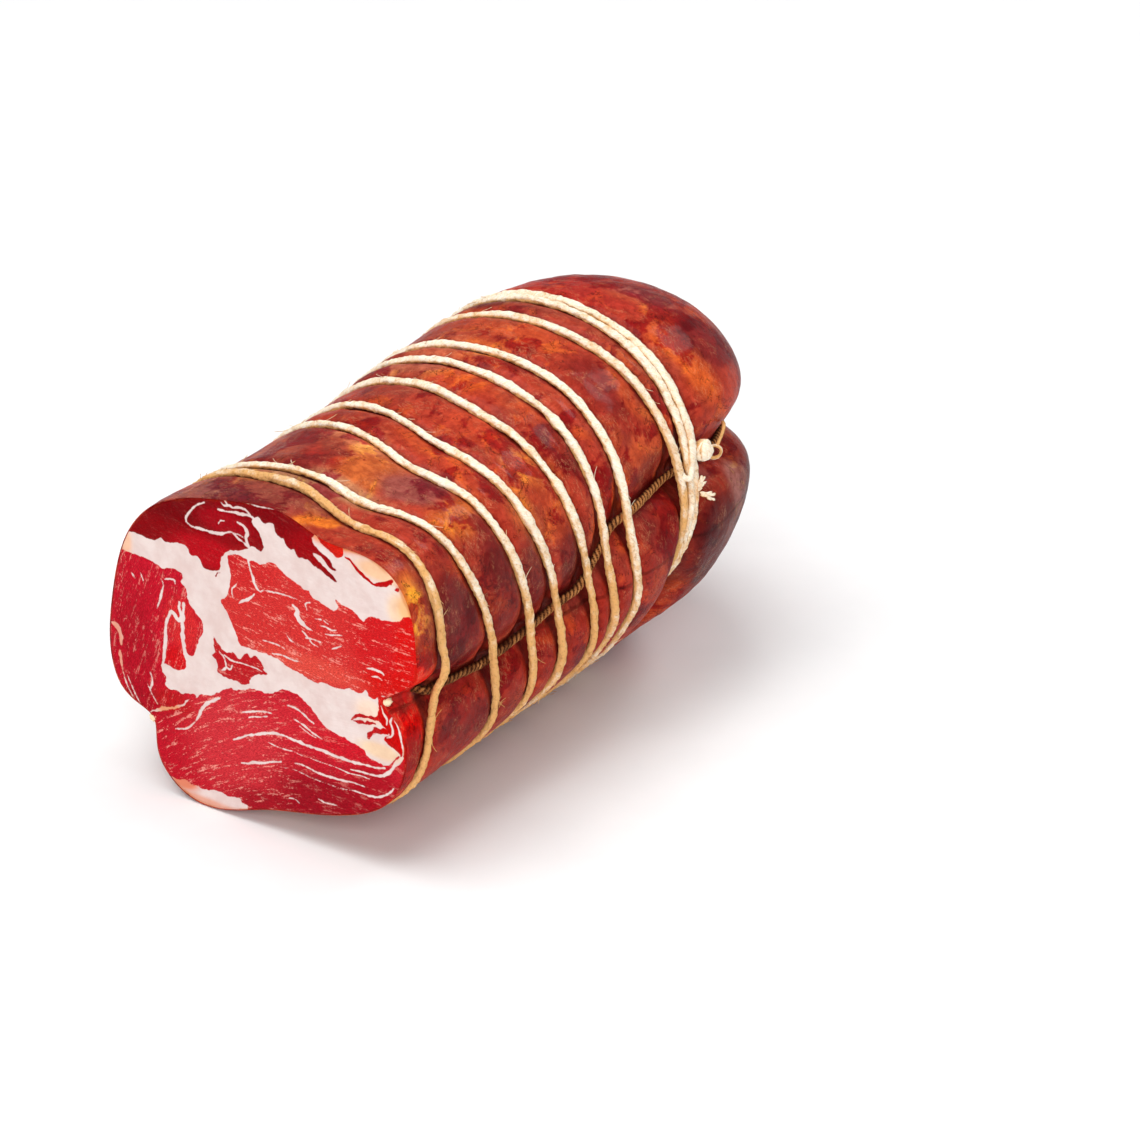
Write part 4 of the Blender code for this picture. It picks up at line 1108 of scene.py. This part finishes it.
stretchedGrain, mottledTint = grainGroup(), mottleGroup()
stainOver, fineRelief = stainGroup(), reliefGroup()
print("node groups ready")


def grained(tree, vector, look):
    # Stretched noise; look holds the stretch, detail, roughness and distortion
    stretch, detail, roughness, distortion = look
    return placeGroup(tree, stretchedGrain, Vector=vector, Stretch=stretch, Detail=detail,
                      Roughness=roughness, Distortion=distortion)["Grain"]


def mottled(tree, base, level, span, dark, light):
    return placeGroup(tree, mottledTint, Base=base, Level=level, Low=span[0], High=span[1],
                      Dark=dark, Light=light)["Colour"]


def stained(tree, base, stain, level, span, amount):
    return placeGroup(tree, stainOver, Base=base, Stain=stain, Level=level, Low=span[0],
                      High=span[1], Amount=amount)["Colour"]


def attribute(tree, name, output="Fac"):
    return addNode(tree, "Attribute", attribute_name=name).outputs[output]


def centred(tree, value, middle=0.5):
    return maths(tree, "SUBTRACT", value, middle)


def band(tree, value, middle, width):
    # 1 where the value crosses the middle, easing to 0 at width from it
    return remap(tree, maths(tree, "ABSOLUTE", centred(tree, value, middle)), width, 0.0)


def weighted(tree, *parts):
    # Sum of values, each times its weight
    total = 0.0
    for value, weight in parts:
        total = maths(tree, "ADD", maths(tree, "MULTIPLY", value, weight), total)
    return total


def joinLook(tree, shader, base, rough, coarse, fine, finish):
    # The colour, the roughness where it varies, and the bumps go to the material's shader
    tree.links.new(base, shader.inputs["Base Color"])
    if rough is not None:
        tree.links.new(remap(tree, rough, 0.3, 0.7, *finish["rough"]), shader.inputs["Roughness"])
    relief = placeGroup(tree, fineRelief, Coarse=coarse, Fine=fine, Share=finish["bumpFine"],
                        Strength=finish["bump"], Distance=finish["bumpHeight"])
    tree.links.new(relief["Normal"], shader.inputs["Normal"])


whole = (0.0, 1.0)  # the span of a mask that is used as it is

meatFinish = {  # grains: stretch along, across and between the fibres, detail, roughness, distort
    "coat": 0.0, "coatRough": 0.15, "specular": 0.03, "rough": (0.30, 0.48),
    "streak": ((0.34, 2.1, 1.0), 6.0, 0.66, 0.35), "patch": ((0.16, 0.75, 1.0), 3.0, 0.5, 0.0),
    "fine": ((1.5, 6.0, 1.0), 4.0, 0.65, 0.2), "raggedScale": 900.0, "cloudScale": 220.0,
    "speckleScale": 1500.0,
    "fleck": (244, 166, 150), "fleckSpan": (0.545, 0.64), "fleckAmount": 0.80,
    "streakWeight": 0.50, "fineWeight": 0.22, "speckleWeight": 0.28, "patchWeight": 0.5,
    "fibreDark": (0.66, 0.50, 0.54), "fibreLight": (1.24, 1.34, 1.28), "fibreSpan": (0.36, 0.66),
    "fatDark": (0.95, 0.88, 0.86), "fatLight": (1.04, 1.04, 1.03), "fatSpan": (0.3, 0.7),
    "edgeRagged": 0.6, "edgeHalf": 0.12,  # mm
    "bump": 0.4, "bumpHeight": 0.0005, "bumpFine": 0.3,
}
skinFinish = {
    "coat": 0.10, "coatRough": 0.16, "specular": 0.03, "rough": (0.27, 0.50),
    "patchSize": 72.0, "shift": (0.31, 0.17, 0.73), "fineScale": 420.0,
    "crimson": (0.66, 0.18, 0.34), "amber": (1.12, 1.06, 1.04), "meatSpan": (0.43, 0.495),
    "orange": (1.30, 1.76, 1.0), "fatSpan": (0.53, 0.61),
    "mauve": (124, 56, 50), "mauveSpan": (0.53, 0.62), "mauveAmount": 0.34,
    "speckDark": (0.80, 0.68, 0.68), "speckLight": (1.16, 1.26, 1.26), "speckSpan": (0.36, 0.66),
    "wrinkle": ((0.55, 0.22, 1.0), 6.0, 0.72, 1.4),
    # pale lines painted as highlights along the wrinkles' crests
    "paintedHighlight": (240, 166, 118), "highlightWidth": 0.022, "highlightSpan": (0.48, 0.60), "highlightAmount": 0.42,
    "crack": (64, 10, 8), "crackAt": 0.47, "crackWidth": 0.015, "crackSpan": (0.46, 0.54),
    "crackAmount": 0.75,
    # a dark colour painted as shade beside the twine and along the creases
    "beside": (80, 14, 8), "besideSpan": (0.26, 0.95), "besideAmount": 0.80,
    "bump": 0.9, "bumpHeight": 0.0013, "bumpFine": 0.35,
}
twineFinish = {
    "specular": 0.10, "rough": 0.9, "fibre": ((0.8, 16.0, 1.0), 4.0, 0.65, 0.5),
    "patchScale": 260.0, "patchWeight": 2.2, "sides": (0.55, -0.20, 0.0, 0.70),
    "stainSpan": (0.0, 0.90), "stainAmount": 0.88, "plyShade": 0.5, "gritShade": 0.55,
    "gritScale": 1500.0, "gritSpan": (0.52, 0.64), "gritByStain": (-0.1, 0.6, 0.35, 1.0),
    "bump": 0.9, "bumpHeight": 0.0003, "bumpFine": 0.5,
    "tip": (250, 224, 186), "tipSoak": (-0.25, -0.45),
    "creamTwine": {"light": (255, 250, 238), "dark": (250, 226, 188), "stain": (226, 164, 84),
                   "plyAmount": 0.30, "plySpan": (0.45, 0.0), "gritAmount": 0.45},
    "soakedTwine": {"light": (226, 160, 96), "dark": (150, 78, 36), "stain": (66, 22, 10),
                    "plyAmount": 0.94, "plySpan": (0.90, 0.42), "gritAmount": 0.45},
}


def meatMaterial():
    t = meatFinish
    material, tree, shader = newMaterial("marbledMeat", {
        "Coat Weight": t["coat"], "Coat Roughness": t["coatRough"],
        "Specular IOR Level": t["specular"]})
    lean, flecks = attribute(tree, "lean"), attribute(tree, "flecks")
    fibre = attribute(tree, "fibre", "Vector")
    place = addNode(tree, "TexCoord").outputs["Object"]
    streak, patch, fine = (grained(tree, fibre, t[key]) for key in ("streak", "patch", "fine"))
    ragged = noiseNode(tree, place, t["raggedScale"], 3.0, 0.6)
    cloud = noiseNode(tree, place, t["cloudScale"])
    speckle = noiseNode(tree, place, t["speckleScale"], 2.0, 0.6)
    leanColour = mottled(tree, attribute(tree, "leanTint", "Color"), fine, t["fibreSpan"],
                         t["fibreDark"], t["fibreLight"])
    # flecks of fat lie along the fibres
    level = weighted(tree, (streak, t["streakWeight"]), (fine, t["fineWeight"]),
                     (speckle, t["speckleWeight"]), (centred(tree, patch), t["patchWeight"]))
    leanColour = stained(tree, leanColour, colour(*t["fleck"]), level, t["fleckSpan"],
                         maths(tree, "MULTIPLY", flecks, t["fleckAmount"]))
    fatColour = mottled(tree, attribute(tree, "fatTint", "Color"), cloud, t["fatSpan"],
                        t["fatDark"], t["fatLight"])
    edge = weighted(tree, (lean, 1.0), (centred(tree, ragged), t["edgeRagged"]))
    isLean = remap(tree, edge, -t["edgeHalf"], t["edgeHalf"])
    base = blendColours(tree, isLean, fatColour, leanColour)
    joinLook(tree, shader, base, streak, streak, ragged, t)
    return material


def casingMaterial():
    t = skinFinish
    material, tree, shader = newMaterial("curedCasing", {
        "Coat Weight": t["coat"], "Coat Roughness": t["coatRough"],
        "Specular IOR Level": t["specular"]})
    place = addNode(tree, "TexCoord").outputs["Object"]
    shifted = addNode(tree, "Mapping", {"Vector": place, "Location": t["shift"]}).outputs[0]
    size = t["patchSize"]
    meatPatch = noiseNode(tree, place, size, 5.0, 0.62, 0.5)
    fatPatch = noiseNode(tree, shifted, 1.2 * size, 5.0, 0.62, 0.6)
    bloom = noiseNode(tree, shifted, 0.7 * size, 4.0, 0.55, 0.3)
    small = noiseNode(tree, place, 2.2 * size, 5.0, 0.62, 0.5)
    fine = noiseNode(tree, place, t["fineScale"], 6.0, 0.7, 0.3)
    # crimson meat, orange fat and greyish bloom show through in patches with fairly crisp edges
    base = mottled(tree, attribute(tree, "tint", "Color"), meatPatch, t["meatSpan"], t["crimson"],
                   t["amber"])
    base = mottled(tree, base, fatPatch, t["fatSpan"], (1, 1, 1), t["orange"])
    base = stained(tree, base, colour(*t["mauve"]), bloom, t["mauveSpan"], t["mauveAmount"])
    base = mottled(tree, base, fine, t["speckSpan"], t["speckDark"], t["speckLight"])
    # painted highlights as pale lines along the crests of fine wrinkles, and dark cracks of the
    # wrinkles
    wrinkle = grained(tree, attribute(tree, "flow", "Vector"), t["wrinkle"])
    highlightWhere = maths(tree, "MULTIPLY", band(tree, wrinkle, 0.5, t["highlightWidth"]),
                       remap(tree, small, *t["highlightSpan"]))
    crackWhere = maths(tree, "MULTIPLY", band(tree, small, t["crackAt"], t["crackWidth"]),
                       remap(tree, fatPatch, *t["crackSpan"]))
    base = stained(tree, base, colour(*t["paintedHighlight"]), highlightWhere, whole, t["highlightAmount"])
    base = stained(tree, base, colour(*t["crack"]), crackWhere, whole, t["crackAmount"])
    # painted shade: darkens the colour beside the twine and along the creases
    base = stained(tree, base, colour(*t["beside"]), attribute(tree, "beside"), t["besideSpan"],
                   t["besideAmount"])
    joinLook(tree, shader, base, fine, wrinkle, fine, t)
    return material


def twineMaterial(name):
    t = twineFinish
    own = t[name]
    light, dark, stain = colour(*own["light"]), colour(*own["dark"]), colour(*own["stain"])
    material, tree, shader = newMaterial(name, {
        "Roughness": t["rough"], "Specular IOR Level": t["specular"]})
    places = addNode(tree, "TexCoord").outputs
    soak = attribute(tree, "soak")
    fibres = grained(tree, places["UV"], t["fibre"])
    patch = noiseNode(tree, places["Object"], t["patchScale"], 5.0, 0.65)
    grit = noiseNode(tree, places["Object"], t["gritScale"], 3.0, 0.6)
    base = blendColours(tree, remap(tree, fibres, 0.3, 0.7), dark, light)
    # stain gathers in patches and low on the sides
    level = maths(tree, "ADD", soak, weighted(tree, (centred(tree, patch), t["patchWeight"])))
    level = maths(tree, "ADD", level, remap(tree, attribute(tree, "top"), *t["sides"]))
    base = stained(tree, base, stain, level, t["stainSpan"], t["stainAmount"])
    base = stained(tree, base, t["plyShade"] * stain, attribute(tree, "ply"), own["plySpan"],
                   own["plyAmount"])
    isTip = remap(tree, soak, *t["tipSoak"])
    base = blendColours(tree, isTip, base, colour(*t["tip"]))
    gritWhere = maths(tree, "MULTIPLY", remap(tree, grit, *t["gritSpan"]),
                      remap(tree, level, *t["gritByStain"]))
    base = stained(tree, base, t["gritShade"] * stain, gritWhere, whole, own["gritAmount"])
    joinLook(tree, shader, base, None, fibres, grit, t)
    return material


print("building the coppa")
meat, skinLook = meatMaterial(), casingMaterial()
cream, soaked = twineMaterial("creamTwine"), twineMaterial("soakedTwine")
buildCasing(skinLook)
buildCutFace(meat)
for seed, name in enumerate(loops):
    path, outward = loopPath(name)
    soaking = partial(soakAlong, name)
    ropes = [ropeArrays(path, outward, loopSettings, True, seed + 3, soaking,
                        partial(swellAlong, name))]
    ropes += looseRopes(path, outward, seed + 70, soaking)
    if name == "twine_loop_9a":  # a turn of it hooks round the loop before
        ropes.append(ropeArrays(*overSkin(smoothLine(knot["hook"], 12)), knot["rope"], False, 55,
                                evenly(knot["soak"]["hook"])))
    buildRopes(name.replace("twine_loop_", "twineLoop"), ropes, cream, (name,))
strand = ropeArrays(*lengthwisePath(), lengthwise, False, 40, soakLengthwise)
buildRopes("twineLengthwise", [strand], soaked, ("twine_lengthwise",))
buildRopes("twineKnot", knotRopes(), cream, ("twine_knot",))


studio = {
    "floorSize": 6.0, "floor": ((247, 247, 247), (250, 250, 250)), "sky": 0.25,
    "aim": (0, 0, 0.04),
    "lights": {  # place, power in watts, size in metres
        "topLight": ((-0.35, 0.3, 1.6), 20.7, 1.3), "faceLight": ((-1.4, -1.0, 0.9), 18.9, 1.0),
        "backLight": ((1.0, -0.3, 1.1), 5.0, 0.4)},
}
camera = {"lens": 230.53, "sensor": 36.0, "distance": 1.8, "elevation": 28.0, "heading": 54.4,
          "lookAt": (-0.03247, -0.05529, 0.06817), "clip": (0.05, 20.0)}


def buildFloor():
    # A flat square of pale, faintly clouded floor
    half = studio["floorSize"] / 2
    mesh = bpy.data.meshes.new("floor")
    mesh.from_pydata([(-half, -half, 0), (half, -half, 0), (half, half, 0), (-half, half, 0)], [],
                     [(0, 1, 2, 3)])
    material, tree, shader = newMaterial("paleFloor", {"Roughness": 0.9})
    place = addNode(tree, "TexCoord").outputs["Object"]
    speckle = noiseNode(tree, place, 40.0, 2.0)
    dim, bright = (colour(*tone) for tone in studio["floor"])
    tree.links.new(blendColours(tree, remap(tree, speckle, 0.3, 0.7), dim, bright),
                   shader.inputs["Base Color"])
    mesh.materials.append(material)
    floor = bpy.data.objects.new("floor", mesh)
    bpy.context.scene.collection.objects.link(floor)


def areaLight(name, place, power, size):
    # A square lamp, turned towards the part
    light = bpy.data.lights.new(name, "AREA")
    light.energy, light.size = power, size
    lamp = bpy.data.objects.new(name, light)
    lamp.location = place
    aim = Vector(studio["aim"]) - Vector(place)
    lamp.rotation_euler = aim.to_track_quat("-Z", "Y").to_euler()
    bpy.context.scene.collection.objects.link(lamp)


def buildCamera():
    # The view direction from its elevation and heading; the camera stands back from its subject
    tilt, heading = math.radians(camera["elevation"]), math.radians(camera["heading"])
    level = math.cos(tilt)
    view = Vector((math.sin(heading) * level, math.cos(heading) * level, -math.sin(tilt)))
    lens = bpy.data.cameras.new("camera")
    lens.lens, lens.sensor_width = camera["lens"], camera["sensor"]
    lens.clip_start, lens.clip_end = camera["clip"]
    eye = bpy.data.objects.new("camera", lens)
    eye.location = Vector(camera["lookAt"]) - view * camera["distance"]
    eye.rotation_euler = view.to_track_quat("-Z", "Y").to_euler()
    bpy.context.scene.collection.objects.link(eye)
    bpy.context.scene.camera = eye


buildFloor()
for name, settings in studio["lights"].items():
    areaLight(name, *settings)
world = bpy.data.worlds.new("softStudio")
world.use_nodes = True
background = world.node_tree.nodes["Background"]
background.inputs["Color"].default_value = (1.0, 1.0, 1.0, 1.0)
background.inputs["Strength"].default_value = studio["sky"]
bpy.context.scene.world = world
bpy.context.scene.view_settings.view_transform = "Standard"
buildCamera()
print("studio ready")
